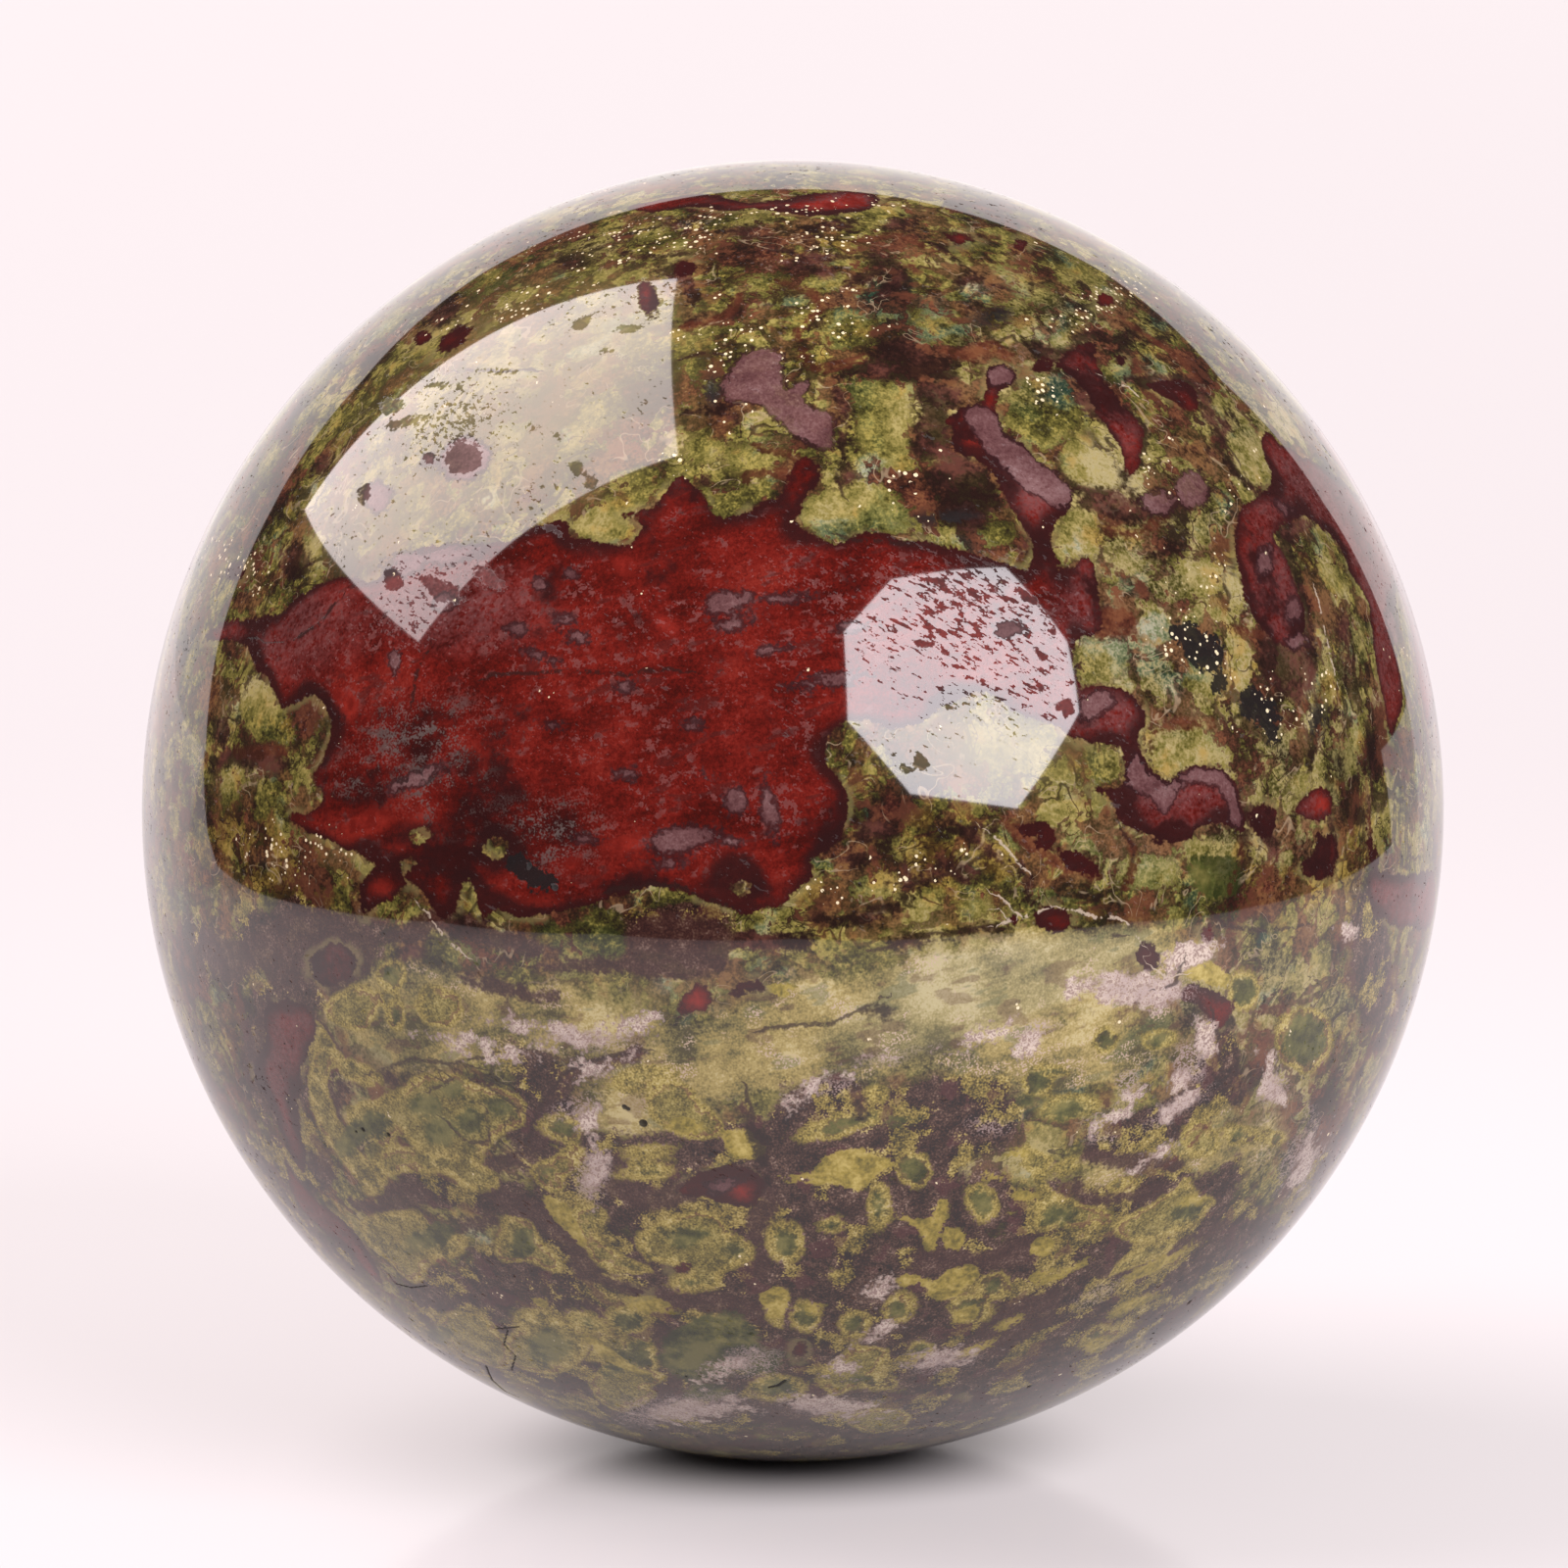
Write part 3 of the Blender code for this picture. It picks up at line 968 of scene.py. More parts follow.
CELL_OVALS = [
    (1084, 348, 12, 12), (745, 225, 24, 6), (665, 235, 18, 9), (690, 250, 20, 7, 10),
    (600, 255, 24, 10, 20), (760, 195, 22, 6), (960, 335, 30, 14, -15), (1055, 300, 28, 12, -20),
    (1140, 375, 16, 14), (720, 460, 24, 14), (770, 470, 28, 16), (960, 470, 14, 8), (985, 490, 18, 10, 10),
    (1015, 545, 18, 12), (1150, 575, 24, 14, 30), (1220, 590, 26, 20), (1230, 690, 20, 24, 30),
    (1325, 800, 12, 12), (1240, 870, 40, 16), (1170, 890, 36, 16), (1020, 895, 16, 12),
    (900, 905, 28, 14, 10), (990, 925, 24, 9), (1195, 345, 14, 9, -30), (1100, 275, 30, 9, -28),
    (330, 380, 18, 9, 50), (400, 330, 22, 9, 42), (505, 285, 26, 9, 28), (275, 470, 10, 22, -25),
    (235, 800, 12, 26), (560, 955, 18, 10), (460, 975, 26, 12), (400, 1010, 34, 14, -10),
    (1385, 760, 10, 30, -10), (1350, 700, 14, 44, -10), (730, 395, 12, 9), (705, 375, 12, 14),
    (780, 290, 26, 10), (600, 990, 40, 10, 5), (560, 855, 14, 9),
]
DARK_SEAMS = [  # photo points, half width in mm
    ([(1078, 455), (1080, 475), (1095, 495), (1130, 502), (1160, 498)], 0.16),
    ([(1148, 488), (1160, 470), (1165, 440), (1150, 415)], 0.30),
    ([(1100, 500), (1140, 508), (1190, 520)], 0.35),
    ([(1165, 395), (1185, 385), (1215, 392), (1235, 420), (1240, 455), (1262, 485), (1280, 500)], 0.30),
    ([(700, 420), (735, 415), (750, 430)], 0.25), ([(1040, 520), (1050, 540), (1040, 560)], 0.35),
    ([(1275, 830), (1290, 850), (1300, 870)], 0.55), ([(1355, 835), (1362, 865)], 0.30),
    ([(920, 880), (925, 910), (915, 935)], 0.22), ([(960, 880), (985, 900), (1000, 885)], 0.18),
    ([(1040, 880), (1050, 905), (1055, 920)], 0.22),
    ([(820, 935), (860, 940), (900, 930), (925, 925)], 0.25), ([(750, 960), (790, 965), (830, 960)], 0.40),
    ([(1245, 1025), (1255, 1045), (1240, 1075), (1245, 1110)], 0.25),
    ([(760, 1125), (765, 1150), (775, 1180), (785, 1205)], 0.28),
    ([(580, 1100), (620, 1085), (655, 1072)], 0.28), ([(570, 1110), (585, 1140)], 0.20),
    ([(1395, 740), (1400, 790), (1396, 830)], 0.22), ([(1340, 690), (1345, 740), (1335, 780)], 0.20),
    ([(870, 1110), (876, 1135)], 0.35), ([(580, 265), (620, 250), (650, 262), (700, 258)], 0.22),
    ([(640, 240), (680, 228), (700, 235)], 0.20),
    ([(790, 255), (840, 262), (900, 262), (925, 280), (905, 300)], 0.28),
    ([(930, 235), (970, 262), (1010, 290), (1050, 300)], 0.20),
    ([(1100, 345), (1120, 340), (1150, 360)], 0.40), ([(1290, 650), (1320, 672), (1325, 710)], 0.40),
]
RUST_SEAMS = [
    ([(1150, 330), (1175, 345), (1200, 362), (1220, 385)], 0.28),
    ([(795, 288), (830, 300), (838, 312), (820, 330), (812, 345)], 0.20),
    ([(700, 335), (740, 325), (755, 300)], 0.25), ([(818, 362), (830, 375), (850, 374), (880, 366)], 0.26),
    ([(965, 358), (985, 362), (1010, 350), (1025, 362)], 0.35),
    ([(770, 455), (800, 465), (815, 470)], 0.16), ([(1120, 640), (1148, 632), (1152, 640)], 0.60),
    ([(1172, 765), (1178, 745), (1205, 735), (1235, 740)], 0.20),
    ([(1265, 860), (1270, 880), (1258, 900), (1245, 925)], 0.12),
    ([(1395, 830), (1400, 860), (1385, 900)], 0.20), ([(1150, 850), (1158, 880), (1150, 905)], 0.16),
    ([(1030, 840), (1055, 865), (1085, 885), (1118, 895)], 0.24), ([(1285, 1030), (1310, 1028)], 0.22),
    ([(1130, 540), (1160, 545), (1190, 530)], 0.22), ([(760, 485), (800, 482)], 0.30),
    ([(840, 340), (846, 352)], 0.12), ([(1255, 640), (1290, 648)], 0.22),
    ([(870, 245), (920, 240), (950, 255)], 0.22), ([(1345, 650), (1350, 700), (1345, 760)], 0.10),
    ([(1180, 1195), (1215, 1170), (1235, 1150)], 0.10), ([(240, 765), (290, 768)], 0.25),
]
PURPLE_OUTLINES = {
    "left bank": [
        (205, 945), (235, 958), (270, 950), (300, 930), (345, 930), (378, 945), (385, 965), (376, 990),
        (360, 1004), (335, 1014), (322, 1000), (305, 1010), (280, 1012), (268, 990), (240, 1000),
        (215, 990),
    ],
    "centre bank": [
        (640, 958), (655, 938), (690, 934), (722, 938), (744, 950), (800, 955), (835, 962), (800, 972),
        (750, 968), (740, 985), (700, 1000), (640, 990), (600, 992), (560, 990), (548, 982), (600, 978),
        (636, 975),
    ],
    "left of the centre bank": [
        (470, 995), (500, 1000), (535, 1008), (570, 1012), (566, 1024), (525, 1020), (490, 1010),
    ],
    "right of the low lens": [(780, 1200), (790, 1230), (775, 1262), (760, 1248), (772, 1225)],
    "above the left mass": [
        (395, 960), (440, 925), (480, 935), (520, 950), (560, 965), (570, 975), (530, 970), (490, 962),
        (450, 950), (420, 965),
    ],
    "beside the left crescent": [
        (325, 1100), (340, 1110), (352, 1150), (375, 1185), (388, 1205), (372, 1200), (345, 1172),
        (330, 1140),
    ],
    "left lump": [(322, 1180), (338, 1184), (342, 1200), (326, 1202)],
    "left bay": [(392, 1210), (420, 1206), (440, 1215), (432, 1232), (405, 1240), (385, 1232)],
    "angle core": [
        (410, 1258), (430, 1254), (458, 1262), (470, 1275), (460, 1284), (438, 1278), (418, 1272),
    ],
    "ring core": [(534, 1268), (545, 1270), (555, 1284), (550, 1290), (538, 1282)],
    "wine field": [
        (950, 1270), (1000, 1278), (1050, 1262), (1060, 1285), (1010, 1292), (985, 1290), (950, 1298),
        (925, 1298),
    ],
    "wine field low": [
        (1005, 1340), (1040, 1325), (1080, 1318), (1070, 1350), (1040, 1370), (1010, 1385), (1000, 1365),
    ],
    "under the oval": [(770, 1432), (800, 1436), (830, 1440), (815, 1456), (785, 1450)],
    "above the grey mass": [(690, 1330), (720, 1322), (770, 1330), (780, 1350), (745, 1345), (710, 1338)],
}
PURPLE_SEAMS = [
    ([(545, 1170), (560, 1120), (590, 1095), (650, 1075)], 0.35),
    ([(490, 1205), (530, 1232), (560, 1244), (590, 1270), (600, 1300)], 0.75),
    ([(360, 1228), (400, 1234), (450, 1256), (500, 1245)], 0.45), ([(434, 1160), (442, 1188)], 0.45),
    ([(640, 1185), (625, 1212), (665, 1225), (700, 1215)], 0.75),
    ([(600, 1300), (640, 1315), (690, 1325)], 0.40),
    ([(780, 1190), (786, 1230), (770, 1245), (776, 1300)], 0.40),
    ([(600, 1330), (610, 1350), (600, 1380)], 0.35), ([(672, 1355), (690, 1410), (660, 1440)], 0.45),
    ([(300, 1020), (330, 1050), (345, 1075)], 0.45), ([(255, 1100), (262, 1060), (275, 1030)], 0.55),
    ([(400, 1100), (350, 1110), (345, 1125)], 0.25), ([(560, 1205), (540, 1180), (500, 1190)], 0.45),
    ([(1110, 1180), (1160, 1185), (1200, 1190)], 0.45), ([(1100, 1210), (1120, 1225), (1190, 1215)], 0.35),
    ([(1150, 1270), (1160, 1255)], 0.30), ([(1130, 1300), (1180, 1280), (1250, 1250)], 0.50),
    ([(1260, 1125), (1280, 1100), (1290, 1080)], 0.25),
]
cell_mm = nearest_of(CELL_OUTLINES.values(), CELL_OVALS)


def nearest_seam(seams):
    """Distance in mm to the edge of the nearest of several drawn lines."""
    result = np.full(len(wavering), REACH_MM)
    for points, half_width in seams:
        result = np.minimum(result, line_mm(wavering, points)[0] - half_width)
    return result


rust_mm = nearest_seam(RUST_SEAMS)
purple_mm = np.minimum(nearest_of(PURPLE_OUTLINES.values()), nearest_seam(PURPLE_SEAMS))
mauve_mm = nearest_of(MAUVE_OUTLINES.values(), MAUVE_OVALS)
scarlet_mm = nearest_of((), SCARLET_OVALS)
dark_mm = np.minimum(nearest_of(DARK_OUTLINES.values(), DARK_OVALS), nearest_seam(DARK_SEAMS))

# %% [markdown]
# ## Islands in the purple ground
# The lower third is a speckled purple-brown ground with islands of epidote: some are yellow leaves, some
# are green discs with a yellow rim, and the largest are clusters of grey-green cores in one yellow crust.

# %% Outlines of the islands
RIMMED_OUTLINES = {
    "big cluster": [
        (353, 1133), (365, 1123), (389, 1119), (407, 1109), (428, 1096), (460, 1093), (481, 1105),
        (505, 1109), (530, 1116), (538, 1130), (533, 1147), (516, 1158), (502, 1168), (491, 1182),
        (480, 1196), (460, 1182), (445, 1186), (428, 1175), (410, 1158), (396, 1172), (375, 1161),
        (354, 1147),
    ],
    "ring": [
        (509, 1249), (516, 1240), (533, 1242), (545, 1249), (554, 1270), (568, 1281), (577, 1293),
        (572, 1298), (558, 1296), (540, 1288), (516, 1288), (505, 1277),
    ],
    "angle": [
        (365, 1245), (380, 1240), (410, 1235), (430, 1240), (446, 1256), (472, 1262), (477, 1274),
        (462, 1286), (440, 1290), (432, 1311), (415, 1306), (400, 1290), (385, 1275), (370, 1262),
    ],
    "middle plate": [
        (650, 1262), (668, 1248), (690, 1240), (715, 1236), (738, 1246), (750, 1262), (766, 1276),
        (760, 1290), (740, 1298), (735, 1315), (712, 1320), (696, 1312), (700, 1296), (676, 1290),
        (655, 1282),
    ],
    "left plate": [
        (585, 1245), (600, 1230), (622, 1240), (612, 1256), (622, 1272), (640, 1284), (668, 1296),
        (640, 1302), (612, 1292), (594, 1270),
    ],
    "low left plate": [
        (515, 1370), (530, 1352), (556, 1344), (580, 1352), (600, 1372), (590, 1392), (565, 1402),
        (535, 1398), (515, 1385),
    ],
    "low pair": [
        (605, 1372), (625, 1360), (645, 1372), (655, 1390), (680, 1404), (660, 1418), (640, 1440),
        (615, 1432), (600, 1408), (620, 1392),
    ],
    "left crescent": [
        (318, 1085), (326, 1060), (340, 1075), (336, 1110), (345, 1140), (362, 1170), (384, 1195),
        (392, 1214), (372, 1210), (345, 1180), (325, 1150), (314, 1115),
    ],
    "bottom middle plate": [
        (838, 1400), (855, 1385), (880, 1372), (905, 1378), (900, 1395), (880, 1408), (862, 1420),
        (840, 1418),
    ],
    "far low plate": [
        (455, 1345), (480, 1340), (505, 1350), (510, 1372), (495, 1390), (470, 1380), (452, 1362),
    ],
    "bottom plate": [(865, 1446), (900, 1436), (930, 1442), (920, 1456), (885, 1462)],
    "pale left plate": [
        (340, 1015), (370, 1005), (392, 1015), (382, 1040), (366, 1052), (345, 1045), (330, 1030),
    ],
    "crust arc": [
        (318, 1050), (326, 1040), (338, 1060), (352, 1080), (372, 1098), (392, 1104), (380, 1112),
        (356, 1104), (338, 1086), (324, 1068),
    ],
    "low crust": [
        (395, 1170), (430, 1172), (470, 1180), (500, 1190), (510, 1210), (480, 1216), (460, 1200),
        (430, 1196), (400, 1200), (390, 1220), (370, 1216), (380, 1190),
    ],
    "right crusts": [
        (1045, 1170), (1075, 1180), (1068, 1205), (1095, 1225), (1130, 1235), (1128, 1250), (1090, 1252),
        (1055, 1238), (1060, 1210), (1042, 1190),
    ],
    "right crust two": [
        (1135, 1250), (1165, 1232), (1195, 1215), (1212, 1200), (1222, 1215), (1240, 1225), (1215, 1250),
        (1190, 1262), (1165, 1270), (1140, 1262),
    ],
    "right crust three": [(1210, 1150), (1235, 1148), (1245, 1165), (1235, 1180), (1212, 1178)],
    "crust below": [(1160, 1275), (1200, 1262), (1190, 1280), (1150, 1296), (1130, 1305), (1140, 1290)],
    "orange crust": [
        (660, 1120), (690, 1100), (720, 1125), (740, 1150), (715, 1165), (690, 1160), (670, 1145),
    ],
    "crust left of the lens": [
        (560, 1180), (590, 1165), (600, 1180), (580, 1200), (575, 1215), (555, 1218), (550, 1195),
    ],
    "bottom left crust": [
        (450, 1345), (470, 1338), (500, 1352), (516, 1372), (518, 1396), (495, 1392), (470, 1375),
        (448, 1362),
    ],
    "bottom left crust two": [
        (615, 1362), (640, 1370), (655, 1392), (668, 1402), (645, 1400), (630, 1388), (605, 1390),
        (600, 1378),
    ],
    "bottom left crust three": [
        (610, 1408), (640, 1412), (668, 1420), (655, 1436), (630, 1428), (612, 1420),
    ],
    "centre chip crust": [(780, 1320), (806, 1314), (800, 1335), (798, 1356), (782, 1345)],
    "bottom white crust": [
        (840, 1400), (860, 1380), (872, 1368), (880, 1385), (900, 1395), (880, 1412), (850, 1425),
        (835, 1412),
    ],
    "yellow chip": [(342, 1078), (366, 1082), (392, 1100), (372, 1106), (350, 1095)],
}
RIMMED_OVALS = [
    (801, 1268, 22, 22), (802, 1417, 24, 12), (870, 1145, 30, 9, 14), (822, 1345, 15, 15),
    (920, 1330, 16, 12), (1090, 1130, 16, 10), (1130, 1062, 10, 14), (1183, 1060, 14, 8),
    (1062, 1095, 12, 12), (1270, 1005, 14, 16), (545, 1350, 24, 14), (640, 1350, 20, 12, -10),
    (1208, 1232, 20, 12, 10), (1075, 1235, 14, 10, 30), (660, 1175, 30, 9, 5), (480, 1150, 10, 10),
    (450, 1028, 26, 22), (1220, 1165, 16, 18, 20), (1330, 1060, 30, 34), (1130, 1362, 30, 8, 22),
    (595, 1240, 14, 12), (893, 1115, 13, 11), (848, 1300, 7, 6), (655, 1100, 40, 14, 12),
]
DISC_OVALS = [  # green discs, each with a thin yellow edge
    (932, 1193, 16, 17, 30), (1002, 1228, 14, 18), (897, 1230, 10, 18), (1015, 1312, 16, 11, 20),
    (990, 1335, 20, 13), (915, 1337, 14, 13), (822, 1343, 14, 14), (872, 1352, 14, 12), (940, 1377, 11, 9),
    (753, 1277, 12, 11), (718, 1260, 14, 9), (1075, 1240, 16, 10, 35), (1208, 1236, 22, 12, 20),
    (1092, 1130, 26, 11, 8), (1130, 1062, 10, 14), (1183, 1060, 14, 8), (1056, 1106, 13, 11),
    (1070, 1092, 14, 5), (1270, 1010, 14, 18), (858, 1148, 36, 9, 14), (600, 1350, 18, 8, -20),
    (560, 1375, 26, 18), (640, 1345, 20, 12), (655, 1385, 14, 14), (790, 1416, 24, 12),
    (885, 1408, 26, 8, -10), (555, 1195, 12, 8), (573, 1150, 20, 12), (660, 1195, 24, 7, 5),
    (1145, 1208, 10, 5, 20), (1120, 1362, 14, 7, 25), (1090, 1190, 10, 6, 30), (405, 1036, 9, 14),
    (400, 995, 12, 14), (1265, 1158, 16, 8), (1330, 1060, 24, 30), (700, 1310, 16, 8), (850, 1250, 10, 6),
    (1300, 1160, 10, 6),
]
LEAF_OUTLINES = {
    "yellow leaf": [
        (793, 1202), (817, 1200), (838, 1193), (845, 1179), (867, 1170), (881, 1172), (895, 1179),
        (912, 1186), (898, 1196), (884, 1207), (874, 1221), (860, 1212), (838, 1209), (810, 1207),
    ],
    "branch": [
        (908, 1234), (925, 1240), (940, 1246), (950, 1240), (958, 1226), (966, 1228), (962, 1244),
        (958, 1256), (954, 1276), (946, 1268), (934, 1252), (918, 1245),
    ],
    "moth": [
        (912, 1308), (925, 1300), (940, 1304), (952, 1306), (965, 1296), (985, 1292), (998, 1294),
        (996, 1306), (982, 1318), (968, 1328), (950, 1322), (935, 1312), (920, 1314),
    ],
    "drop": [(965, 1258), (974, 1254), (982, 1264), (978, 1276), (966, 1272)],
    "comb": [(1052, 1274), (1066, 1262), (1078, 1268), (1070, 1280), (1055, 1282)],
    "left drip": [
        (556, 1222), (575, 1226), (590, 1246), (600, 1266), (592, 1270), (575, 1252), (560, 1236),
    ],
    "centre chip": [(778, 1325), (795, 1312), (806, 1320), (800, 1340), (785, 1345)],
    "long drip": [(590, 1350), (600, 1362), (650, 1394), (668, 1402), (640, 1398), (606, 1380)],
    "yellow wedge": [(1206, 995), (1220, 982), (1242, 984), (1256, 998), (1248, 1010), (1225, 1006)],
    "pale edge": [(780, 1010), (800, 1002), (815, 1010), (800, 1018)],
}
LEAF_OVALS = [
    (1012, 1240, 12, 3, 10), (1045, 1222, 12, 5), (750, 1162, 16, 12), (1215, 1225, 16, 5, 15),
    (960, 1246, 6, 20, -20), (1062, 1300, 14, 4, 25), (990, 1378, 26, 5, 22), (1120, 1372, 14, 7, 25),
    (760, 1175, 18, 10), (830, 1335, 10, 6), (1158, 1330, 24, 5, 25), (1180, 1290, 40, 6, 28),
    (660, 1330, 26, 7, -8), (700, 1150, 20, 9), (1085, 1298, 26, 4, 25), (1010, 1200, 18, 4, -8),
    (1040, 1180, 12, 5), (985, 1340, 16, 7, 20), (552, 1330, 8, 6), (1030, 1350, 14, 4, 25),
]
CORE_OVALS = [
    (379, 1149, 21, 13), (431, 1128, 16, 12), (450, 1155, 17, 15), (480, 1145, 14, 15), (510, 1130, 15, 11),
    (458, 1110, 18, 8), (533, 1268, 13, 16, -30), (440, 1262, 30, 12, 20), (801, 1268, 14, 13),
    (800, 1417, 14, 6), (725, 1375, 52, 34, 12), (700, 1262, 20, 10), (748, 1276, 12, 9),
    (560, 1375, 24, 16), (640, 1386, 26, 11, 35), (822, 1345, 9, 9), (360, 1160, 12, 26, -40),
    (450, 1362, 14, 9), (640, 1350, 14, 8, -10), (1090, 1135, 22, 8, 8), (1130, 1062, 9, 12),
    (1055, 1105, 9, 13), (1183, 1060, 12, 7), (1270, 1008, 12, 14), (870, 1143, 22, 5, 14),
    (1240, 895, 30, 22), (760, 1385, 40, 16, -8), (720, 1420, 24, 10), (1085, 1242, 12, 8, 30),
    (1210, 1232, 14, 8, 10), (940, 1375, 10, 5, 20), (1050, 1125, 16, 7), (910, 1145, 22, 4, 12),
]
disc_mm = nearest_of((), DISC_OVALS)
rimmed_mm = np.minimum(nearest_of(RIMMED_OUTLINES.values(), RIMMED_OVALS), disc_mm - 0.16)
leaf_mm = nearest_of(LEAF_OUTLINES.values(), LEAF_OVALS)
core_mm = np.minimum(nearest_of((), CORE_OVALS), disc_mm + 0.14)

# %% [markdown]
# ## White quartz and thin veins
# A sugary white patch sits at the right end of a pale band, with lavender crystals trailing below it. Thin
# veins, some white and some nearly black, cross the band. A vein is thinner than the mesh's faces, so each
# vertex stores on which side of it the vertex lies, as a signed distance: the change of sign is drawn as a
# sharp line at any width.

# %% Outlines of the white, and the veins
WHITE_OUTLINES = {
    "sugar": [
        (1185, 990), (1192, 975), (1200, 968), (1215, 958), (1232, 962), (1245, 958), (1249, 966),
        (1235, 975), (1222, 985), (1208, 992), (1196, 998),
    ],
    "lavender": [
        (1118, 1012), (1128, 996), (1150, 992), (1172, 996), (1196, 998), (1206, 1012), (1196, 1024),
        (1180, 1030), (1160, 1028), (1140, 1024), (1122, 1024),
    ],
    "tail one": [(1222, 1040), (1236, 1040), (1240, 1060), (1236, 1080), (1226, 1075), (1222, 1058)],
    "tail two": [
        (1284, 1074), (1296, 1078), (1302, 1100), (1312, 1128), (1302, 1126), (1284, 1118), (1290, 1098),
    ],
    "tail three": [(1185, 1132), (1205, 1118), (1222, 1108), (1224, 1118), (1206, 1134), (1190, 1144)],
    "sugar flecks": [(1040, 1062), (1056, 1052), (1060, 1064), (1048, 1076), (1036, 1074)],
    "flow flecks": [(1085, 1008), (1100, 1000), (1110, 1008), (1098, 1018)],
}
WHITE_OVALS = [
    (555, 1050, 40, 7, -8), (590, 1062, 34, 7, 10), (620, 1052, 16, 7, 25), (660, 1045, 14, 9, 40),
    (520, 1075, 26, 5, 5), (610, 1090, 22, 6, 20), (480, 1062, 26, 5, -8), (608, 1195, 10, 24, -15),
    (600, 1140, 12, 12), (710, 1440, 44, 9, 5), (745, 1395, 26, 6, 25), (850, 1435, 40, 8, -5),
    (960, 1385, 26, 7, 10), (895, 1318, 14, 10, 20), (1375, 952, 8, 7), (868, 1092, 22, 5, 18),
    (820, 1118, 16, 5, 25), (1130, 1142, 16, 5, 30), (1208, 1100, 12, 7, 30), (1330, 1190, 8, 26, -30),
    (1000, 1058, 20, 4, 22), (1155, 1118, 12, 5, 25), (1180, 1180, 16, 4, 30), (898, 1360, 14, 5, 25),
    (860, 1395, 12, 6),
]
WHITE_VEINS = [
    [(1020, 942), (1040, 938), (1058, 932), (1072, 924)],
    [(1085, 924), (1100, 928), (1118, 936), (1138, 934), (1150, 944), (1162, 958)],
    [(1178, 988), (1192, 1000), (1204, 996)],
    [(1018, 918), (1030, 926), (1040, 938)],
    [(1010, 848), (1026, 862), (1036, 878), (1048, 892)],
    [(425, 918), (440, 935), (455, 960), (475, 975)],
    [(1342, 600), (1350, 640), (1362, 690)],
    [(1130, 388), (1150, 394), (1160, 402)],
]
DARK_VEINS = [
    [(880, 972), (905, 966), (935, 958), (975, 952), (1012, 944)],
    [(1098, 945), (1112, 954), (1140, 956)],
    [(625, 910), (660, 903), (700, 905), (715, 916), (740, 926)],
    [(780, 1050), (850, 1045), (900, 1020)],
    [(440, 1110), (470, 1098), (500, 1112), (530, 1128), (520, 1146)],
    [(455, 1145), (480, 1168), (500, 1165), (498, 1140)],
    [(1235, 930), (1250, 945), (1290, 950), (1330, 945)],
    [(380, 1095), (420, 1082), (465, 1085), (500, 1078)],
    [(540, 1160), (552, 1120), (575, 1098), (620, 1078), (655, 1072)],
    [(1146, 850), (1158, 870), (1150, 900)],
    [(930, 905), (980, 890), (1010, 870)],
    [(855, 545), (870, 552), (900, 552), (940, 556)],
    [(700, 365), (720, 358), (742, 362), (745, 380)],
    [(790, 440), (820, 448), (845, 470), (862, 505)],
    [(300, 652), (326, 636), (345, 612)],
    [(435, 668), (425, 690), (418, 712)],
    [(470, 380), (495, 377), (520, 380), (545, 378)],
    [(760, 1110), (768, 1135), (765, 1150), (778, 1170)],
    [(1185, 1010), (1200, 1005), (1206, 985)],
    [(1236, 1030), (1242, 1060), (1248, 1095)],
    [(500, 690), (560, 684), (640, 690), (700, 684)],
    [(1240, 440), (1262, 470), (1276, 495)],
]
LAVENDER_OVALS = [
    (1165, 1010, 60, 22, -5), (1060, 1050, 30, 14, 25), (1215, 1085, 22, 26), (1200, 1130, 44, 12, 30),
    (1150, 1105, 18, 16), (1300, 1110, 16, 26, -30), (605, 1200, 22, 34), (585, 1130, 34, 14, 20),
    (600, 1060, 70, 14, -6), (900, 1080, 60, 8, 14), (700, 1435, 70, 16, 5), (960, 1390, 50, 12, 8),
    (1120, 1320, 30, 10, 30), (845, 1440, 60, 10, -5), (1010, 1150, 26, 12), (1320, 1180, 14, 40, -30),
    (770, 1390, 30, 20), (1340, 1140, 8, 30, 20), (850, 1110, 26, 12, 10), (1125, 1160, 24, 10),
    (655, 1440, 30, 18),
]
FLECK_OVALS = [
    (661, 303, 10, 22, 25), (641, 336, 14, 4, 12), (593, 330, 14, 6, 35), (590, 480, 12, 5, -25),
    (602, 492, 8, 5), (1030, 641, 17, 9, 5), (938, 778, 7, 11, 10), (925, 784, 5, 5),
    (1012, 600, 10, 3, -20), (950, 592, 16, 4, -15), (985, 612, 14, 3, -20), (1050, 608, 12, 4, -35),
    (1070, 640, 8, 5, -40), (1062, 668, 9, 4, -40), (960, 625, 10, 3, -10), (912, 640, 4, 7),
    (1085, 720, 10, 9, -50), (1058, 700, 7, 4), (473, 468, 20, 16, 20), (438, 470, 6, 5),
    (420, 430, 26, 5, 10), (400, 415, 12, 10), (452, 395, 16, 3, 5), (565, 445, 10, 2, -40),
    (545, 437, 6, 5), (940, 655, 12, 3, -10), (890, 660, 10, 3), (1000, 690, 8, 3, -20),
    (370, 505, 5, 14, -20), (515, 380, 22, 3, -5), (620, 360, 8, 4), (560, 540, 18, 4, -25),
    (500, 590, 20, 7, -30), (450, 600, 24, 9, -30), (400, 590, 10, 12),
]
white_mm = nearest_of(WHITE_OUTLINES.values(), WHITE_OVALS)
lavender_mm = nearest_of((), LAVENDER_OVALS)
fleck_mm = nearest_of((), FLECK_OVALS)


def nearest_vein(veins):
    """Distance in mm to the nearest vein, and the same with that vein's side as its sign."""
    nearest = np.full(len(wavering), REACH_MM)
    sided = np.full(len(wavering), REACH_MM)
    for points in veins:
        away, with_side = line_mm(wavering, points)
        closer = away < nearest
        nearest = np.where(closer, away, nearest)
        sided = np.where(closer, with_side, sided)
    return nearest, sided


